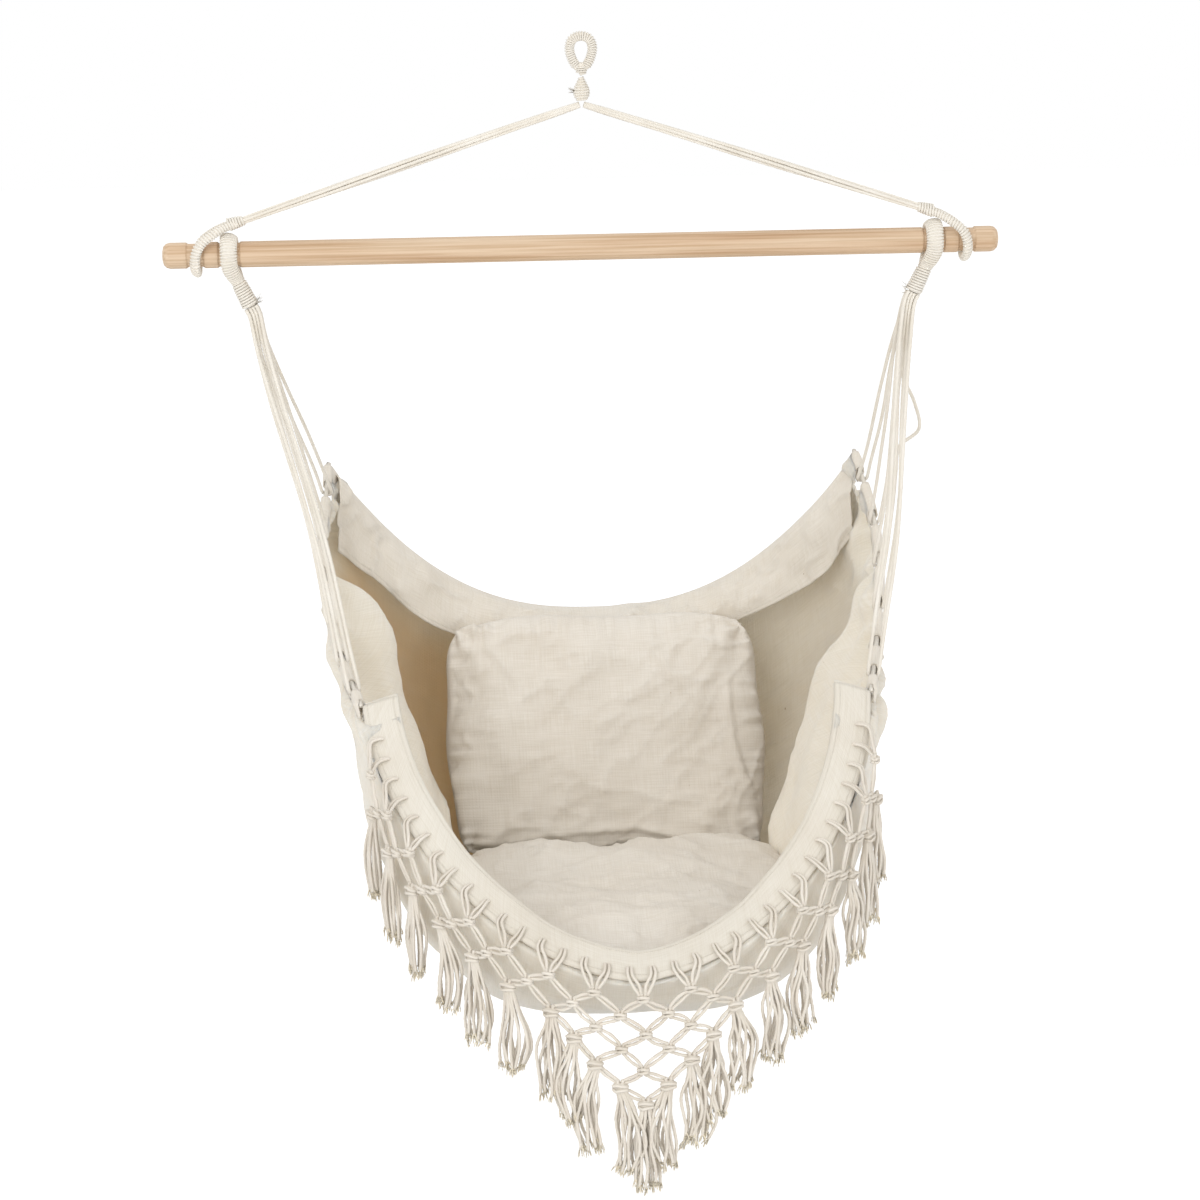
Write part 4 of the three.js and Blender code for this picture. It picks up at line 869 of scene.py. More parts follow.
neck_ways = {sign: unit(neck_point(sign, neck_drop) - neck_point(sign, groove_radius)) for sign in (-1, 1)}
loop_radius = groove_radius + 5.6
wide = np.array([6.2, 6.6, 7.6, 8.8, 9.2, 9.3, 9.3, 9.3, 9.2, 8.8, 7.6, 6.6, 6.2])
deep = np.array([3.9, 4.0, 4.4, 4.7, 4.8, 4.8, 4.8, 4.8, 4.8, 4.7, 4.4, 4.0, 3.9])
for side, sign in both_sides:
    front_leg = []
    for degrees in (0, 30, 60, 90, 120):
        turn = math.radians(degrees)
        out, up = loop_radius * math.sin(turn), loop_radius * math.cos(turn)
        front_leg.append((sign * loop_x, -out, bar_z + up))
    for down, inwards in ((0.35, 0.55), (0.5, 1), (0.75, 1), (1, 1)):
        point = neck_point(sign, down * neck_drop)
        front_leg.append((point[0], -mix(loop_radius, 2.8, inwards), point[2]))
    line = smooth_path([(x, -y, z) for x, y, z in reversed(front_leg[1:])] + front_leg, 1.5)
    loop = Bundle()
    wound_core(loop, line, (wide - 1.3, deep - 1.1), (wide - 0.9, deep - 0.9), 3.0, (1, 0, 0),
               2.8, lay=6.2, step=1.3)
    body_piece(loop.piece(f"served_suspension_loop_{side}", cord_cotton), "seat", f"suspension_loop_{side}")

    way = neck_ways[sign]
    bottom = neck_point(sign, neck_drop) - way * 0.5
    top = bottom - way * neck_length
    neck = Bundle()
    wound_core(neck, [top, bottom], ([5.8, 6.6, 7.0, 7.2], [5.4, 6.2, 6.8, 7.4]),
               ([7.4, 7.9, 8.2, 8.6], [6.9, 7.6, 8.0, 8.6]), neck_cord_diameter, (1, 0, 0),
               neck_cord_diameter, lay=6.2, step=1.2)
    for _ in range(14):
        start = bottom + way * neck_rng.uniform(-6, 2) + [-sign * 7.0, neck_rng.uniform(-3, 2), 0]
        tip = start + [-sign * neck_rng.uniform(3, 9), -neck_rng.uniform(0, 5), neck_rng.uniform(-2, 9)]
        add_fibre(neck, start, tip, [0, -1, 1], 0.8, step=1.6)
    body_piece(neck.piece(f"neck_winding_{side}", cord_cotton), "seat", f"suspension_whipping_{side}")
    print(side, "neck wound with", round(neck_length / neck_cord_diameter), "turns")

# %% [markdown]
# ## Suspension cords
#
# Each cord leaves the neck, runs down to the side of the sling, goes round the edge cord in its notch
# and comes back up. They carry the load, so they run nearly straight, and no cloth or rope simulation
# is needed: a straight way with a slight wobble is nearer to a loaded cord. One on the right has
# slipped a little in the photograph and shows a small slack bight.

# %% Edge cords
hook_shares = [0.085, 0.24, 0.4, 0.57, 0.75, 0.915]
edge_cord_diameter, edge_cord_overrun = 6, 6


def mirrored(point, sign):
    return np.array([point[0] * sign, point[1], point[2]])


def lay_edge_cord(side, sign):
    """The cord in the side hem, which sticks out a little at both ends."""
    hem_line = [mirrored(point, sign) for point in edge_curve.at(np.linspace(0, 1, 40))]
    hem_line = [hem_line[0] - edge_cord_overrun * unit(hem_line[1] - hem_line[0])] + hem_line
    hem_line = hem_line + [hem_line[-1] + edge_cord_overrun * unit(hem_line[-1] - hem_line[-2])]
    edge = Bundle()
    twisted_cord(edge, hem_line, edge_cord_diameter, lay=16, step=2)
    body_piece(edge.piece(f"laid_edge_cord_{side}", cord_cotton), "seat", f"edge_cord_{side}")


print("hooks at", [round(share * edge_curve.length) for share in hook_shares], "mm along each side")

# %% Suspension cords
hang_cord_diameter, cord_fullness, cord_pitch = 4.1, 1.08, 3.9
cord_lay, cord_wobble, hook_gap = 10.5, 2.6, 0.6
hook_reach = edge_cord_diameter / 2 + hook_gap + hang_cord_diameter / 2
slack_cord = ("right", 2)
leg_shares = np.linspace(0, 1, 12)
for side, sign in both_sides:
    lay_edge_cord(side, sign)

    down = neck_ways[sign]
    bundle_across = unit(np.cross([0, -1, 0], down))
    bundle_across = bundle_across if bundle_across[0] > 0 else -bundle_across
    for index, share in enumerate(hook_shares):
        centre = mirrored(edge_curve.at(share), sign)
        along = mirrored(edge_curve.direction(share), sign)
        to_neck = unit(neck_point(sign, neck_drop) - centre)
        across = unit(np.cross(along, to_neck))
        across = across if across[0] > 0 else -across
        row_offset = (index % 2 + 0.5) * cord_pitch
        depth = ((len(hook_shares) - 1) / 2 - index) * 0.52 * cord_pitch
        start = neck_point(sign, neck_drop) + down * 0.8
        stretch = 1 / math.sqrt(1 - float(np.dot(along, to_neck)) ** 2)
        tops = {face: start + bundle_across * face * row_offset + [0, depth, 0] for face in (1, -1)}
        bight = [centre + across * hook_reach * math.cos(a) - to_neck * hook_reach * stretch * math.sin(a)
                 for a in np.linspace(0, math.pi, 9)]
        legs = []
        for face, foot in ((1, bight[0]), (-1, bight[-1])):
            top = tops[face]
            straight = [mix(top + down * 9, foot, share_down) for share_down in leg_shares]
            swing = wobble(straight, cord_wobble, 130, index + 0.37 * face + 9 * sign)
            if (side, index) == slack_cord and face == 1:
                spare = np.exp(-((leg_shares - 0.42) / 0.075) ** 2)
                swing = swing + spare[:, None] * np.array([26, -4, -9])
            legs.append([top] + list(swing))
        path = smooth_path(legs[0] + bight[1:-1] + legs[1][::-1], 2.5)
        cord = Bundle()
        twisted_cord(cord, path, hang_cord_diameter * cord_fullness, cord_lay, step=1.4)
        name = f"hanging_cord_{side}_{index + 1}"
        piece = body_piece(cord.piece(name, cord_cotton), "seat", f"suspension_cord_{side}_{index + 1}")
        path = leaned(path)
        length = float(np.sum(np.linalg.norm(np.diff(path, axis=0), axis=1)))
        print(name, round(length), "mm")

# %% [markdown]
# ## The canvas sling
#
# The sling is one cloth. Its side edges are turned over the edge cord and sewn down, which makes a
# tube, and the tube is cut away where each suspension cord hooks. Between the cuts it stands up as
# tabs. Cloth pulled at a few points gathers in pleats that run away from them, and the sides, longer
# than the way between the cords, fall inwards in one deep fold each. A cloth simulation would find
# such folds too, but not the same ones, and it would leave the solid behind it. So the cloth is a grid
# on the CAD surface, and pleats, folds and creases are added square to it.

# %% Grids of cloth


def grid_faces(rows, columns):
    return [(r * columns + c, r * columns + c + 1, (r + 1) * columns + c + 1, (r + 1) * columns + c)
            for r in range(rows - 1) for c in range(columns - 1)]


def grid_normals(points):
    along, across = np.gradient(points, axis=0), np.gradient(points, axis=1)
    normal = np.cross(along, across)
    return normal / np.maximum(np.linalg.norm(normal, axis=-1), 1e-9)[..., None]


def cloth_coordinates(points):
    """Metres of cloth across and along a grid, measured on it."""
    across = np.linalg.norm(np.diff(points, axis=1), axis=-1)
    along = np.linalg.norm(np.diff(points, axis=0), axis=-1)
    u = np.concatenate([np.zeros((len(points), 1)), np.cumsum(across, axis=1)], axis=1)
    u = u - u[:, u.shape[1] // 2][:, None]
    v = np.concatenate([np.zeros((1, points.shape[1])), np.cumsum(along, axis=0)], axis=0)
    return np.stack([u, v], -1)


def cut_size(points):
    """The mean width and length of a grid of cloth, in metres."""
    across = np.linalg.norm(np.diff(points, axis=1), axis=-1).sum(axis=1).mean()
    along = np.linalg.norm(np.diff(points, axis=0), axis=-1).sum(axis=0).mean()
    return (float(across) * MM, float(along) * MM)

# %% Ripples, creases and thickness


def noise_field(points, grain, seed):
    """Smooth ups and downs of a size given by grain, with finer ones on them."""
    field = np.zeros(points.shape[:-1])
    for place in np.ndindex(field.shape):
        spot = Vector(points[place] / grain) + Vector((seed, -seed, 0.5 * seed))
        field[place] = sum(noise.noise(spot * 2**k) / 2**k for k in range(2))
    return field


def crease_field(points, grain, seed):
    """Narrow ridges with flat cloth between them, as creases have."""
    ridge = 1 - np.abs(noise_field(points, grain, seed)) * 3.2
    return np.clip(ridge, 0, 1) ** 3


def bump(value, middle, width):
    return np.exp(-((value - middle) / width) ** 2)


def thicken(piece, thickness):
    solid = piece.modifiers.new("thickness", "SOLIDIFY")
    solid.thickness = thickness * MM
    solid.offset = 0.0


def join_pieces(pieces, name):
    bpy.ops.object.select_all(action="DESELECT")
    for piece in pieces:
        piece.select_set(True)
    bpy.context.view_layer.objects.active = pieces[0]
    bpy.ops.object.join()
    pieces[0].name = name
    return pieces[0]

# %% The sling's grid
canvas_thickness = 1.7
half_columns, along_rows, rim_rows = 56, 130, 10
half_shares = 1 - (1 - np.linspace(0, 1, half_columns + 1)) ** 1.35
angles = np.concatenate([-half_shares[:0:-1], half_shares])
alongs = np.linspace(0, 1, along_rows)
body = sling_point(angles[None, :], alongs[:, None])
rim = rim_point(angles[None, :], np.linspace(0, 1, rim_rows + 1)[1:, None])
surface = np.concatenate([body, rim])
inwards = grid_normals(surface)
if inwards[40, half_columns, 2] < 0:
    inwards = -inwards

edge_length = edge_curve.length
across_steps = np.linalg.norm(np.diff(surface, axis=1), axis=-1)
reached = np.concatenate([np.zeros((len(surface), 1)), np.cumsum(across_steps, axis=1)], axis=1)
from_edge = np.minimum(reached, reached[:, -1:] - reached)
row_share = np.concatenate([alongs, np.ones(rim_rows)])[:, None] * np.ones((1, len(angles)))
edge_place = row_share * edge_length
left_side = (angles < 0)[None, :] * np.ones((len(surface), 1)) > 0
print("sling grid", surface.shape[:2], "widest row", round(float(reached[:, -1].max())), "mm")

# %% Pleats below the notches
hook_places = np.array(hook_shares) * edge_length
notch_half_length, notch_depth = 11, 13
pleat_height, pleat_reach, pleat_start = 7.5, 88, 14
lift = np.zeros(surface.shape[:2])
for index, place in enumerate(hook_places):
    for on_left in (True, False):
        dx, dy = edge_place - place, from_edge - notch_depth
        reach = np.hypot(dx, dy)
        spread = np.arctan2(dx, np.maximum(dy, 0.1) + 6)
        strength = np.exp(-reach / pleat_reach) * (1 - np.exp(-reach / pleat_start))
        waves = np.cos(7 * spread + 1.7 * index + (0.9 if on_left else 2.3))
        lift += np.where(left_side == on_left, waves * strength * pleat_height, 0)
print("pleats stand out by", round(float(lift.max()), 1), "mm")

# %% One deep fold in each side
left_fold, right_fold = 46, 66
left_crest, right_crest = (0.30, 0.32), (0.44, 0.17)
angle_from_edge = 1 - np.abs(angles)
crest = np.where(left_side, left_crest[0] + left_crest[1] * angle_from_edge,
                 right_crest[0] + right_crest[1] * angle_from_edge)
from_crest = row_share - crest
fold_start = np.where(left_side, 0.03, 0.025)
fold_reach = smooth_step(angle_from_edge - fold_start, 0.0, 0.14)
fold_reach = fold_reach * (1 - smooth_step(angle_from_edge, 0.44, 0.64))
steepness = np.where(from_crest < 0, 0.05, 0.15)
deep_fold = np.where(left_side, left_fold, right_fold) * np.exp(-(from_crest / steepness) ** 2)
streaks = 5 * bump(from_crest, 0.10, 0.03) + 6 * bump(from_crest, 0.20, 0.035)
streaks = streaks - 5 * bump(from_crest, -0.16, 0.05)
lift += fold_reach * (deep_fold + streaks)
print("folds lean in by", round(float(lift.max())), "mm")

# %% Sags and creases, and the smooth part behind the cushions
side_sag = bump(from_edge, 60, 55) * np.sin(np.pi * row_share) * (1 - row_share**8)
lift += side_sag * 7 * np.sin(row_share * 19 + left_side * 1.3)
inside_rows = smooth_step(1 - row_share, 0.0, 0.1)
lift += noise_field(surface, 150, 3.1) * 9 * smooth_step(from_edge, 10, 90) * inside_rows
lift += crease_field(surface, 46, 8.0) * 1.8 * smooth_step(from_edge, 5, 40)
lift += crease_field(surface, 95, 2.0) * 3.0 * smooth_step(from_edge, 20, 120) * inside_rows
under_cushions = bump(row_share, 0.62, 0.22) * (1 - smooth_step(np.abs(surface[..., 0]), 150, 215))
lift *= 1 - 0.92 * under_cushions
behind_cushion = 1 - smooth_step(np.abs(surface[..., 0]), 165, 215)
behind_cushion = behind_cushion * (1 - smooth_step(row_share, 0.55, 0.7))
behind_cushion *= smooth_step(row_share, 0.04, 0.12)
lift -= behind_cushion * np.maximum(lift, 0)
most_lift = 80
lift = np.minimum(lift, most_lift)
print("after the creases", round(float(lift.max())), "mm at most")

# %% Notches, where the hem is cut back
notch = np.zeros_like(lift)
for place in hook_places:
    span = np.clip(1 - (np.abs(edge_place - place) / notch_half_length) ** 4, 0, 1)
    notch = np.maximum(notch, notch_depth * span ** 0.5)
hem_radius, squeezed_width = 4.6, 70.0
draw_in = np.clip(1 - from_edge / 60, 0, 1)
off_hem = 1 - np.clip(1 - from_edge / 14, 0, 1)
shaped = surface + inwards * (lift * off_hem + hem_radius * draw_in**3)[..., None]
for row in range(along_rows):
    for is_left in (True, False):
        line = shaped[row, :half_columns + 1] if is_left else shaped[row, half_columns:][::-1]
        deep = notch[row, 0]
        if deep < 0.5:
            continue
        steps = np.concatenate([[0], np.cumsum(np.linalg.norm(np.diff(line, axis=0), axis=1))])
        squeezed = deep + steps * (squeezed_width - deep) / squeezed_width
        wanted = np.where(steps < squeezed_width, squeezed, steps)
        moved = np.stack([np.interp(wanted, steps, line[:, k]) for k in range(3)], -1)
        if is_left:
            shaped[row, :half_columns + 1] = moved
        else:
            shaped[row, half_columns:] = moved[::-1]
print(2 * len(hook_places), "notches", notch_depth, "mm deep")

# %% The body of the sling
sling_cloth = cloth_coordinates(surface)
sling_body = new_piece("sling_body", shaped.reshape(-1, 3), grid_faces(*shaped.shape[:2]), sling_canvas,
                       sling_cloth.reshape(-1, 2))
# Painted shade: a tan tint where the pocket behind each side fold lies in shadow, mostly on the left.
between = smooth_step(1 - np.abs(angles), 0.12, 0.3) * smooth_step(np.abs(angles), 0.2, 0.36)
painted_shade_share = smooth_step(-from_crest, 0.03, 0.10) * smooth_step(row_share, 0.05, 0.16) * between[None, :]
painted_shade_share *= np.where(left_side, 0.7, 0.1)
painted_shade_layer = sling_body.data.attributes.new("pocket", "FLOAT", "POINT")
painted_shade_layer.data.foreach_set("value", painted_shade_share.ravel())
print("shaded pocket on", int((painted_shade_share > 0.5).sum()), "points of the grid")

# %% Tabs: the turned-over hem between the notches
tab_pieces = []
bounds_of_tabs = [0.0]
for place in hook_places:
    bounds_of_tabs += [place - notch_half_length, place + notch_half_length]
bounds_of_tabs.append(edge_length)
tab_spans = list(zip(bounds_of_tabs[::2], bounds_of_tabs[1::2]))
hem_turns = np.radians([90, 62, 34, 6, -22, -50, -78, -96])
flap_depths = [5, 10, 15, 19]
hem_stitch_share, hem_thread_radius = 0.62, 0.4
stitch_lines = Bundle()
for side, sign in both_sides:
    for number, (start, end) in enumerate(tab_spans):
        places = np.linspace(start, end, max(4, int((end - start) / 3)))
        rows = []
        for place in places:
            share = float(np.clip(place / edge_length, 0, 1))
            row = share * (along_rows - 1)
            low = min(int(row), along_rows - 2)
            line = mix(surface[low], surface[low + 1], row - low)
            inward = unit(mix(inwards[low], inwards[low + 1], row - low)[0 if sign < 0 else -1])
            edge = line[0] if sign < 0 else line[-1]
            inner = line[4] if sign < 0 else line[-5]
            outward = unit(edge - inner)
            ease = math.sin(math.pi * np.clip((place - start) / (end - start), 0.02, 0.98))
            radius = hem_radius * (1 + 0.22 * ease * noise.noise(Vector((place / 14, sign, number))))
            lean = 1.5 * noise.noise(Vector((place / 30, 4 * sign, 7)))
            points = [edge - outward * 15 + inward * hem_radius * 0.8,
                      edge - outward * 7 + inward * hem_radius * 0.95]
            for turn in hem_turns:
                out = radius * math.cos(turn) + 0.6 * ease
                points.append(edge + outward * out + inward * (radius * math.sin(turn) + lean * 0.3))
            for depth in flap_depths:
                below = hem_radius * (1 - smooth_step(depth, 2, 19)) + 1.9
                points.append(edge - outward * depth - inward * below)
            rows.append(points)
        rows = np.array(rows)
        coordinates = cloth_coordinates(rows) + np.array([0, number * 55.0])
        tab_pieces.append(new_piece(f"tab_{side}_{number}", rows.reshape(-1, 3), grid_faces(*rows.shape[:2]),
                                    turned_canvas, coordinates.reshape(-1, 2)))
        seam = rows[:, -2] - (rows[:, -2] - rows[:, 0]) * 0.25
        sew(stitch_lines, seam, hem_stitch_share, hem_thread_radius)
print(len(tab_pieces), "tabs")

# %% The sling's pieces joined
sling = join_pieces([sling_body] + tab_pieces, "draped_canvas_sling")
thicken(sling, canvas_thickness)
body_piece(sling, "seat", "canvas_sling")
hem_stitches = body_piece(stitch_lines.piece("hem_stitches", thread_cotton), "seat")
sling_mesh_area = sum(face.area for face in sling.data.polygons)
print("sling cloth area", round(sling_mesh_area, 3), "square metres")

# %% [markdown]
# ## Front band
#
# The band is a doubled strip sewn along the front edge. It stiffens the mouth of the seat and carries
# the fringe, and the fringe's cords pull small dents into it. It could be a strip cut from the sling's
# own grid, but a grid of its own takes the dents and the seams without changing the sling.

# %% Front band
solid_canvas, solid_gap, solid_band = 2.4, 0.4, 4
band_lift = solid_canvas / 2 + 4 * solid_gap + solid_band / 2
stitch_share, thread_radius = 0.6, 0.36
band_columns, band_rows = 181, 18
band_angles = np.linspace(-0.975, 0.975, band_columns)
band_grid = rim_point(band_angles[None, :], np.linspace(0.10, 1.02, band_rows)[:, None])
band_normals = grid_normals(band_grid)
if band_normals[3, band_columns // 2, 2] < 0:
    band_normals = -band_normals
rim_shares = np.linspace(0, 1, 241)
rim_line = sling_point(rim_shares, 1.0)
rim_reached = np.concatenate([[0], np.cumsum(np.linalg.norm(np.diff(rim_line, axis=0), axis=1))])
last_column, bare_columns = 8, 1.3
column_spacing = rim_reached[-1] / (last_column + bare_columns)


def rim_angle(column):
    share = np.interp(abs(column) * column_spacing, rim_reached, rim_shares)
    return math.copysign(share, column) if column else 0.0


staple_columns = [c + part for c in range(-last_column, last_column + 1) for part in (-0.25, 0.25)]
staple_angles = np.array([rim_angle(c) for c in staple_columns])
across_band = np.linspace(0, 1, band_rows)[:, None] * np.ones((1, band_columns))
dents = sum(bump(band_angles[None, :], angle, 0.010) for angle in staple_angles)
band_lift_field = band_lift + 1.6 * np.sin(np.pi * across_band) ** 0.6
band_lift_field -= 1.3 * dents * bump(across_band, 0.28, 0.2)
band_lift_field += noise_field(band_grid, 26, 5.0) * 1.5
small_waves = 1.6 * np.sin(np.linspace(0, 46, band_columns))[None, :]
band_lift_field += small_waves * bump(across_band, 0.95, 0.35) * 0.5
shaped_band = band_grid + band_normals * band_lift_field[..., None]
hem_curl = np.stack([shaped_band[0] - band_normals[0] * 2.6 * k for k in (1, 0.5)])
onward = shaped_band[-1] - shaped_band[-2]
inner_curl = np.stack([shaped_band[-1] + onward * 0.25 * k - band_normals[-1] * 2.3 * k
                       for k in (0.5, 1.0, 1.6)])
shaped_band = np.concatenate([hem_curl, shaped_band, inner_curl])
band_faces = grid_faces(*shaped_band.shape[:2])
band = new_piece("sewn_front_band", shaped_band.reshape(-1, 3), band_faces, band_canvas,
                 cloth_coordinates(shaped_band).reshape(-1, 2))
thicken(band, 1.8)
body_piece(band, "seat", "front_band")
band_seams = Bundle()
for seam_share in (0.12, 0.93):
    row = 2 + int(seam_share * (band_rows - 1))
    seam, _ = resampled(shaped_band[row] + band_normals[row - 2] * 1.25, 2.6)
    sew(band_seams, seam, stitch_share, thread_radius)
band_stitches = body_piece(band_seams.piece("band_stitches", thread_cotton), "seat")
print("front band", [round(side, 3) for side in cut_size(shaped_band)], "metres")

# %% [markdown]
# ## Valance
#
# The valance is the top of the canvas turned over to the front and left loose, so its lower edge waves
# and casts a shadow on the back. Its section is one smooth curve from the top edge down, longer and
# flatter towards the ends. The waves grow from nothing at the fold to their full size at the hem.

# %% Valance
valance_columns, valance_rows = 171, 30
valance_reach = 1 - 2 / 14
valance_angles = np.linspace(-valance_reach, valance_reach, valance_columns)
fold_shares = np.array([(0, 0), (0.3, 0.02), (0.62, 0.22), (0.86, 0.58), (1, 1)])
fold = SmoothCurve([(f, d, 0) for f, d in fold_shares]).at(np.linspace(0, 1, valance_rows))
valance_top = sling_point(valance_angles, 0.0)
to_end = np.abs(np.sin(np.pi / 2 * valance_angles)) ** 1.6
middle_drop, end_drop, middle_reach, end_reach = 13, 92, 64, 30
valance = np.zeros((valance_rows, valance_columns, 3))
valance[..., 0] = valance_top[:, 0]
valance[..., 1] = valance_top[:, 1] - fold[:, 0:1] * mix(middle_reach, end_reach, to_end)
valance[..., 2] = valance_top[:, 2] + 3.2 - fold[:, 1:2] * mix(middle_drop, end_drop, to_end)
down_share = np.linspace(0, 1, valance_rows)[:, None] * np.ones((1, valance_columns))
loose = smooth_step(down_share, 0.15, 1.0)
wave_place = np.linspace(-1, 1, valance_columns)[None, :]
valance[..., 1] -= loose * (4.5 * np.sin(wave_place * 9.5 + 0.6) + 3.0 * np.sin(wave_place * 23 + 2.0))
valance[..., 2] += loose * (5.0 * np.sin(wave_place * 6.1 + 1.0) + 2.5 * np.sin(wave_place * 15)) * 0.9
notch_fold = bump(wave_place, 0.10, 0.035) * bump(down_share, 0.75, 0.5)
valance[..., 2] += notch_fold * 12
valance[..., 1] += notch_fold * 10
valance[..., 2] -= bump(wave_place, -0.33, 0.17) * loose * 11
valance[..., 2] -= bump(wave_place, 0.34, 0.13) * loose * 6
valance_normals = grid_normals(valance)
ripple = noise_field(valance, 60, 12.0) * 8 + crease_field(valance, 44, 4.0) * 3.6
valance += valance_normals * (ripple * smooth_step(down_share, 0.05, 0.3))[..., None]
valance_faces = grid_faces(valance_rows, valance_columns)
valance_piece = new_piece("turned_over_valance", valance.reshape(-1, 3), valance_faces,
                          turned_canvas, cloth_coordinates(valance).reshape(-1, 2))
thicken(valance_piece, 1.6)
body_piece(valance_piece, "seat", "back_valance")
valance_seam = Bundle()
seam, _ = resampled(valance[-3], 2.8)
facing = np.array([0, -1.0, 0.25])
sew(valance_seam, seam, stitch_share, thread_radius, lifted=facing * 1.1)
valance_stitches = body_piece(valance_seam.piece("valance_stitches", thread_cotton), "seat")
print("valance", [round(side, 3) for side in cut_size(valance)], "metres")

# %% [markdown]
# ## Cushions
#
# A stuffed cushion is fullest in the middle, its sides draw in between the corners, and the corners
# stay flat as ears. The cloth puckers along the seams, folds fan out from the corners and a few long
# creases cross the faces where the cushions press on each other. Cloth simulation was tried, but it
# folded the empty case into a cross. Each case is a grid on either side of the seam, bent and dished
# to the sling; the seat cushion's front corner is pressed into the V.

# %% Puckers, corner folds and creases
cushion_width, cushion_draw_in = 372, 4
case_steps = 104
pucker_pitch, pucker_reach, pucker_height = 21, 24, 6.0
corner_fold_reach, corner_fold_height = 60, 5.5
even_spots = np.linspace(-1, 1, case_steps + 1)
case_spots = mix(even_spots, np.sin(np.pi / 2 * even_spots), 0.75)


def seam_puckers(from_seam, along_seam, seed):
    """Short folds square to a seam, deepest near it, unevenly spaced."""
    turns, force = [], []
    for place in along_seam.flat:
        turns.append(place / pucker_pitch + 0.9 * noise.noise(Vector((place / 37, seed, 0))))
        force.append(0.55 + 0.9 * noise.noise(Vector((place / 52, seed, 5))))
    wave = np.cos(2 * np.pi * np.array(turns)) * np.clip(force, 0.1, 1)
    wave = wave.reshape(along_seam.shape)
    return wave * np.exp(-from_seam / pucker_reach) * (1 - np.exp(-from_seam / 5)) * pucker_height


def corner_folds(dx, dy, seed):
    """Folds that fan out from a corner."""
    reach, turn = np.hypot(dx, dy), np.arctan2(dy, dx)
    fan = np.cos(9 * turn + seed) * np.exp(-reach / corner_fold_reach)
    return fan * (1 - np.exp(-reach / 16)) * corner_fold_height


def long_crease(x, y, crease):
    """A crease along a bent line: start, end, bend, width and height, with ends that fade."""
    start_x, start_y, end_x, end_y, bend, width, height = crease
    way = np.array([end_x - start_x, end_y - start_y])
    length = np.linalg.norm(way)
    way = way / length
    along = ((x - start_x) * way[0] + (y - start_y) * way[1]) / length
    aside = (y - start_y) * way[0] - (x - start_x) * way[1] - bend * 4 * along * (1 - along)
    steep = np.where(aside > 0, aside / width, aside / (0.45 * width))
    return height * np.exp(-steep**2) * smooth_step(along, -0.08, 0.22) * (1 - smooth_step(along, 0.7, 1.08))

# %% One face of a case
seam_inset, edge_unevenness, most_crease = 2.2, 2.2, 7


def case_face(size, hand, form, swell, creases, seed, seed_of_seam):
    """One face of a case, as a grid of points about the cushion's own middle."""
    width, height, thickness = size
    tip, dish, bend = form
    x, y = np.meshgrid(case_spots, case_spots)
    full = ((1 - np.abs(x) ** 3.2) * (1 - np.abs(y) ** 3.2)) ** 0.5
    in_corner = np.abs(x * y) ** 3
    round_off = 1 - 0.13 * in_corner
    edge_wave = edge_unevenness * np.sin(7.3 * y + seed_of_seam) * np.abs(x) ** 3
    edge_rise = edge_unevenness * np.sin(6.1 * x + 2 * seed_of_seam) * np.abs(y) ** 3
    wide = (width / 2 - cushion_draw_in * (1 - y * y) - seam_inset + edge_wave) * round_off
    tall = (height / 2 - cushion_draw_in * (1 - x * x) - seam_inset + edge_rise) * round_off
    down = y * tall - np.maximum(0, y) * tip * np.abs(x) ** 1.5
    points = np.stack([x * wide, down, dish * x * x + bend * y * y + hand * full * thickness / 2], -1)
    out = grid_normals(points)
    out = out if out[case_steps // 2, case_steps // 2, 2] * hand > 0 else -out
    flat = np.stack([x * wide, y * tall, np.full_like(x, 40.0 * hand)], -1)
    lift = noise_field(flat, 92, seed) * 10 + swell * smooth_step(-y, -0.15, 0.7)
    lift += crease_field(flat * np.array([0.5, 1.0, 1.0]), 44, seed + 3) * 3.0
    slanting = flat @ np.array(Matrix.Rotation(0.9, 3, "Z")) * np.array([0.4, 1.0, 1.0])
    lift += crease_field(slanting, 38, seed + 8) * 2.4
    for crease in creases:
        lift += long_crease(flat[..., 0], flat[..., 1], crease)
    for edge_x in (-1, 1):
        from_side = (1 - edge_x * x) * width / 2
        lift += seam_puckers(from_side, flat[..., 1], seed + edge_x)
        for edge_y in (-1, 1):
            lift += corner_folds(from_side, (1 - edge_y * y) * height / 2, seed + edge_x + 2 * edge_y)
    for edge_y in (-1, 1):
        lift += seam_puckers((1 - edge_y * y) * height / 2, flat[..., 0], seed + 4 * edge_y)
    seam_fade = np.clip((1 - np.maximum(np.abs(x), np.abs(y))) * width / 2 / 7, 0, 1)
    lift = np.minimum(lift, most_crease + swell) * seam_fade
    return points + out * lift[..., None], flat[..., :2]

# %% Two faces joined at the seam


def cushion_piece(name, size, form, place, turn, shown, swell, creases, seed):
    """Both faces of a case, joined at the seam and put in place in the sling."""
    count = case_steps + 1
    around = np.array(Matrix.Rotation(turn, 3, "X"))
    halves = []
    for hand in (1, -1):
        face_swell, face_creases = (swell, creases) if hand == shown else (0, [])
        points, flat = case_face(size, hand, form, face_swell, face_creases, seed + 20 * hand, seed)
        points = points.reshape(-1, 3) @ around.T + np.array(place)
        faces = [face if hand > 0 else face[::-1] for face in grid_faces(count, count)]
        halves.append(new_piece(f"{name}_{hand}", points, faces, cushion_canvas, flat.reshape(-1, 2)))
    piece = join_pieces(halves, name)
    work = bmesh.new()
    work.from_mesh(piece.data)
    bmesh.ops.remove_doubles(work, verts=work.verts, dist=0.05 * MM)
    bmesh.ops.recalc_face_normals(work, faces=work.faces)
    work.to_mesh(piece.data)
    work.free()
    return piece

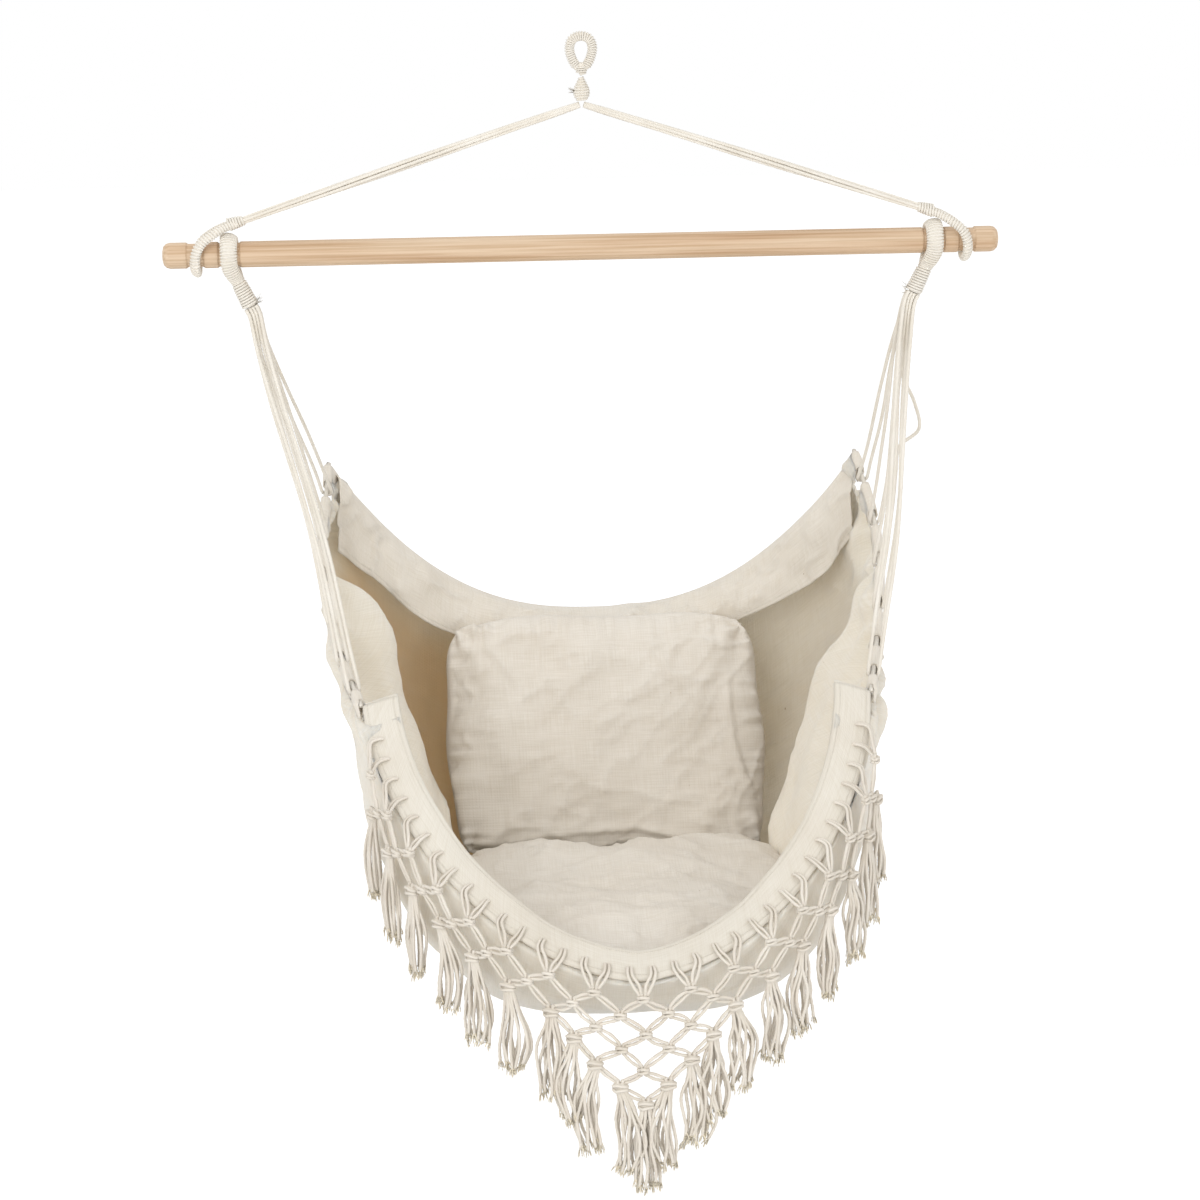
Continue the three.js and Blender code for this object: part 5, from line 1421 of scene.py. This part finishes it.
# %% Cushions settle on the canvas
canvas_faces = grid_faces(*shaped.shape[:2])
canvas_points = [tuple(point) for point in leaned(shaped.reshape(-1, 3))]
canvas_tree = BVHTree.FromPolygons(canvas_points, canvas_faces)
canvas_inwards = inwards.reshape(-1, 3)


def settle_on_canvas(piece, clearance=2.8):
    """Moves what would go through the canvas back onto its inner face."""
    pressed = 0
    for vertex in piece.data.vertices:
        place = vertex.co / MM
        nearest, normal, face, _ = canvas_tree.find_nearest(place)
        inward = normal if normal.dot(Vector(canvas_inwards[canvas_faces[face][0]])) > 0 else -normal
        depth = (place - nearest).dot(inward)
        if depth < clearance:
            vertex.co += inward * (clearance - depth) * MM
            pressed += 1
    print(piece.name, pressed, "points pressed against the canvas")

# %% Back cushion
back_creases = [(-150, -126, 60, -112, 8, 7, 4.0), (20, -104, 176, -118, -10, 6, 4.5),
                (168, -70, 150, 78, 12, 8, 5.0), (-10, 132, -60, 40, 8, 9, 3.0),
                (48, 130, 120, 30, -8, 10, 3.2), (100, 134, 60, 66, 4, 7, 3.0),
                (150, 100, 96, -10, -12, 12, 2.6), (-150, 120, -96, 52, 6, 9, 3.0),
                (-80, -96, 20, -52, 6, 14, 2.4)]
back_cushion = cushion_piece(
    "stuffed_back_cushion", (cushion_width + 14, 306, 114), (0, 26, 22),
    (0, 172, bar_z - 616), math.radians(70), 1, 0, back_creases, 2.0)
settle_on_canvas(back_cushion)
body_piece(back_cushion, "seat", "back_cushion", "back_cushion_filling")
print(back_cushion.name, "with", len(back_creases), "long creases")

# %% Seat cushion
seat_creases = [(-170, -150, -60, -80, 10, 9, 4.0), (-150, -160, 30, -150, -6, 10, 4.0),
                (60, -164, 170, -96, 12, 9, 4.0), (-120, -20, 20, 30, 10, 13, 3.0),
                (30, -60, 140, -10, -8, 12, 3.0), (-60, 60, 60, 100, 6, 12, 2.6)]
seat_cushion = cushion_piece(
    "stuffed_seat_cushion", (cushion_width + 2, cushion_width, 112), (90, -20, 0),
    (0, -141, bar_z - 739.6), math.pi - math.radians(6), -1, 24, seat_creases, 9.0)
settle_on_canvas(seat_cushion)
body_piece(seat_cushion, "seat_pad", "seat_cushion", "seat_cushion_filling")
print(seat_cushion.name, "with", len(seat_creases), "long creases")

# %% [markdown]
# ## Knotted fringe
#
# The fringe is worked by hand along the band. Each first knot ties the cords of two staples, which
# are sewn through the band. From there pairs of cords run to the next row, half a column to the side,
# and are tied again, three rows deep at the sides and seven in the middle. A square knot is two turns
# across the front, one under the other, round the cords that run through it. A net drawn as an image
# on a sheet would lie flat, so every cord and every turn of a knot is modelled.

# %% Places of the knots
fringe_cord_diameter, fringe_lay = 3.8, 8
solid_knot = 7
knot_row_pitch, hem_knot_drop = 19.5, 9
knot_reach = 14
knot_stand_off = 4.2
canvas_cloud = sling_point(np.linspace(-1, 1, 121)[None, :], np.linspace(0.55, 1, 80)[:, None])
canvas_cloud = canvas_cloud.reshape(-1, 3)


def canvas_front(x, z):
    """How far to the front the canvas comes near a place of the fringe."""
    near = (np.abs(canvas_cloud[:, 0] - x) < knot_reach) & (np.abs(canvas_cloud[:, 2] - z) < knot_reach)
    return canvas_cloud[near, 1].min() if near.any() else np.inf


def knot_place(column, row):
    """Where a knot sits: below the band, and never behind the canvas."""
    point = sling_point(rim_angle(column), 1.0).copy()
    point[1] -= solid_canvas / 2 + knot_stand_off + solid_band + solid_knot / 2
    point[2] -= hem_knot_drop + (row - 1) * knot_row_pitch
    point[1] = min(point[1], canvas_front(point[0], point[2]) - solid_canvas - solid_knot)
    return point


def rows_at(column):
    """How many rows the net has at a column: seven in the middle, three at the sides."""
    return int(max(3, 7 - 2 * abs(column)))


fringe_rng = random.Random(21)
knot_spots = {}
for half in range(-2 * last_column, 2 * last_column + 1):
    column = half / 2
    first_row = 1 if half % 2 == 0 else 2
    for row in range(first_row, rows_at(column) + 1, 2):
        shake = np.array([fringe_rng.uniform(-1.6, 1.6), 0, fringe_rng.uniform(-1.4, 1.4)])
        knot_spots[(column, row)] = knot_place(column, row) + (shake if row > 1 else 0)
print(len(knot_spots), "knots")

# %% Square knots


def knot_frame(column):
    """Directions across the net, out of it and up, at a column."""
    ahead = sling_point(rim_angle(column + 0.2), 1.0) - sling_point(rim_angle(column - 0.2), 1.0)
    across = unit(np.array([ahead[0], ahead[1], 0.0]))
    across = across if across[0] > 0 else -across
    out = np.array([across[1], -across[0], 0.0])
    return across, out if out[1] < 0 else -out, np.array([0, 0, 1.0])


upper_turn = [(-5.6, 1.0, 0.6), (-3.4, 3.3, 2.2), (0.2, 3.9, 2.4), (3.6, 3.1, 1.4), (5.6, 0.4, 0.6),
              (3.4, -2.8, 0.6), (-3.2, -2.8, 1.2), (-5.6, 1.0, 0.6)]
lower_turn = [(-5.4, 0.4, -2.2), (-3.4, 3.1, -2.6), (0.0, 3.9, -1.6), (3.4, 3.3, -1.2), (5.5, 1.0, -2.0),
              (3.2, -2.8, -3.0), (-3.4, -2.8, -2.4), (-5.4, 0.4, -2.2)]


def add_knot(bundle, place, frame_axes, size=1.0, flip=1):
    """Two turns across the front and the two cords that run through them."""
    across, out, up = frame_axes
    for loop in (upper_turn, lower_turn):
        line = [place + (across * x * flip + out * y + up * z) * size for x, y, z in loop]
        twisted_cord(bundle, smooth_path(line, 1.2), fringe_cord_diameter * 0.98, fringe_lay, step=1.2)
    for x in (-1.5, 1.5):
        core = [place + (across * x * 1.4 + up * 6.0) * size, place + (across * x + out * 1.0) * size,
                place + (across * x * 1.4 - up * 6.0) * size]
        twisted_cord(bundle, smooth_path(core, 1.5), fringe_cord_diameter, fringe_lay, step=1.4)

# %% Pairs of cords between the knots


def add_pair(bundle, start, end, out, spread=2.6, crook=1.5):
    """Two cords side by side from knot to knot, a little apart in the middle."""
    way = end - start
    side = unit(np.cross(way, out))
    bend = fringe_rng.uniform(-crook, crook)
    for hand in (-1, 1):
        wide = spread * fringe_rng.uniform(0.75, 1.15)
        line = [start + side * hand * 1.2, mix(start, end, 0.22) + side * (hand * wide * 0.85 + bend * 0.6),
                mix(start, end, 0.5) + side * (hand * wide + bend) + out * fringe_rng.uniform(-0.6, 0.8),
                mix(start, end, 0.78) + side * (hand * wide * 0.85 + bend * 0.6), end + side * hand * 1.2]
        twisted_cord(bundle, smooth_path(line, 2.0), fringe_cord_diameter, fringe_lay, step=1.5)

# %% The net
net = Bundle()
for (column, row), place in knot_spots.items():
    axes = knot_frame(column)
    across, out, up = axes
    add_knot(net, place, axes, flip=1 if (row + int(2 * column)) % 2 else -1)
    for side_step in (-0.5, 0.5):
        below = knot_spots.get((column + side_step, row + 1))
        if below is not None:
            hand = 1 if side_step > 0 else -1
            add_pair(net, place + across * hand * 2.2 - up * 3.6, below - across * hand * 2.2 + up * 3.6, out)
print("net of", net.count, "points so far")

# %% Staples over the band
for column in range(-last_column, last_column + 1):
    place = knot_spots[(column, 1)]
    across, out, up = knot_frame(column)
    for hand in (-1, 1):
        angle = rim_angle(column + hand * 0.25)
        near = rim_point(angle + 0.01, 0.36) - rim_point(angle - 0.01, 0.36)
        facing = unit(np.cross(near, rim_point(angle, 1.0) - rim_point(angle, 0.0)))
        facing = facing if facing[1] < 0 else -facing
        for cord_hand in (-1, 1):
            beside = across * cord_hand * 1.9
            head = rim_point(angle, 0.40) + facing * 7.6 + beside
            sewn = rim_point(angle, 0.45) + facing * 3.0 + beside
            bend = rim_point(angle, 0.12) + facing * 9.2 + beside * 1.2
            tied = place + across * hand * 2.6 + up * 2.6 + beside * 0.4
            rising = mix(place, bend, 0.55) + out * 1.6 + beside
            line = smooth_path([tied, rising, bend, head, sewn], 1.6)
            twisted_cord(net, line, fringe_cord_diameter * 0.95, fringe_lay, step=1.5)
body_piece(net.piece("knotted_net", fringe_cotton), "seat", "fringe_net")
print(len(staple_columns), "staples")

# %% [markdown]
# ## Tassels
#
# Below the last knots the cords are left to hang and open into strands, whose ends fray. Each strand is
# a twisted cord with its own wave and flare. All the strands of one tassel drift to the same side, as
# they would when a hand has brushed it. Hair would be lighter, but an export has no hair.

# %% Tassels
strands_per_tassel, tassel_length, strand_diameter = 12, 92, 3.8
tassel_drift, tassel_half_depth = 0.28, 11
ends_per_strand, frayed_end_diameter = 7, 1.5
tassel_columns = [half / 2 for half in range(-2 * last_column, 2 * last_column + 1)
                  if half % 2 == 0 or rows_at(half / 2) > 3]
for number, column in enumerate(tassel_columns, 1):
    row = rows_at(column)
    knot = knot_spots.get((column, row))
    knot = knot if knot is not None else knot_place(column, row)
    across, out, up = knot_frame(column)
    head = Bundle()
    lowest = knot - up * tassel_length
    clear = canvas_front(lowest[0], lowest[2]) - tassel_half_depth - solid_canvas
    fall = unit(np.array([0, min(0, clear - knot[1]), -tassel_length]))
    add_knot(head, knot - up * 1.0 + out * 1.2, (across, out, up), size=1.35)
    drift = fringe_rng.uniform(-tassel_drift, tassel_drift)
    tips = Bundle()
    for strand in range(strands_per_tassel):
        turn = 2 * math.pi * (strand + fringe_rng.uniform(-0.3, 0.3)) / strands_per_tassel
        ring = across * math.cos(turn) + out * math.sin(turn) * 0.5
        length = tassel_length * fringe_rng.uniform(0.86, 1.0)
        flare = fringe_rng.uniform(9.0, 17.0)
        wave, phase = fringe_rng.uniform(1.6, 3.6), fringe_rng.uniform(0, 6.3)
        line = []
        for share in np.linspace(0, 1, 9):
            spread = mix(4.4, flare, smooth_step(share, 0.0, 0.6)) * (1 - 0.2 * smooth_step(share, 0.75, 1))
            sway = wave * math.sin(7.0 * share + phase) * min(1, 3 * share)
            lean = drift * length * share * (1.6 - 1.3 * share)
            line.append(knot - up * 4 + fall * length * share + ring * spread
                        + across * (sway + lean) + out * 0.4 * sway)
        path = smooth_path(line, 2.5)
        twisted_cord(head, path, strand_diameter, lay=8.5, step=1.7)
        tip_way = unit(path[-1] - path[-3])
        for _ in range(ends_per_strand):
            stray = np.array([fringe_rng.uniform(-1, 1), fringe_rng.uniform(-1, 1),
                              fringe_rng.uniform(-0.4, 0.4)])
            end = path[-1] + tip_way * fringe_rng.uniform(4, 10) + stray * 4.0
            middle = mix(path[-2], end, 0.5) + stray * 1.2
            end_line = [path[-2] + stray * 0.6, middle, end]
            twisted_cord(tips, end_line, frayed_end_diameter, lay=4, step=2.4, end_share=0.2)
    piece = head.piece(f"stranded_tassel_{number:02d}", fringe_cotton)
    frayed = tips.piece(f"frayed_ends_{number:02d}", tip_cotton)
    frayed.parent = piece
    body_piece(piece, "seat", f"tassel_{number:02d}")
print(number, "tassels of", strands_per_tassel, "strands")

# %% Sizes
low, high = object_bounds()
print("visual box in mm:", [round(side / MM) for side in high - low])
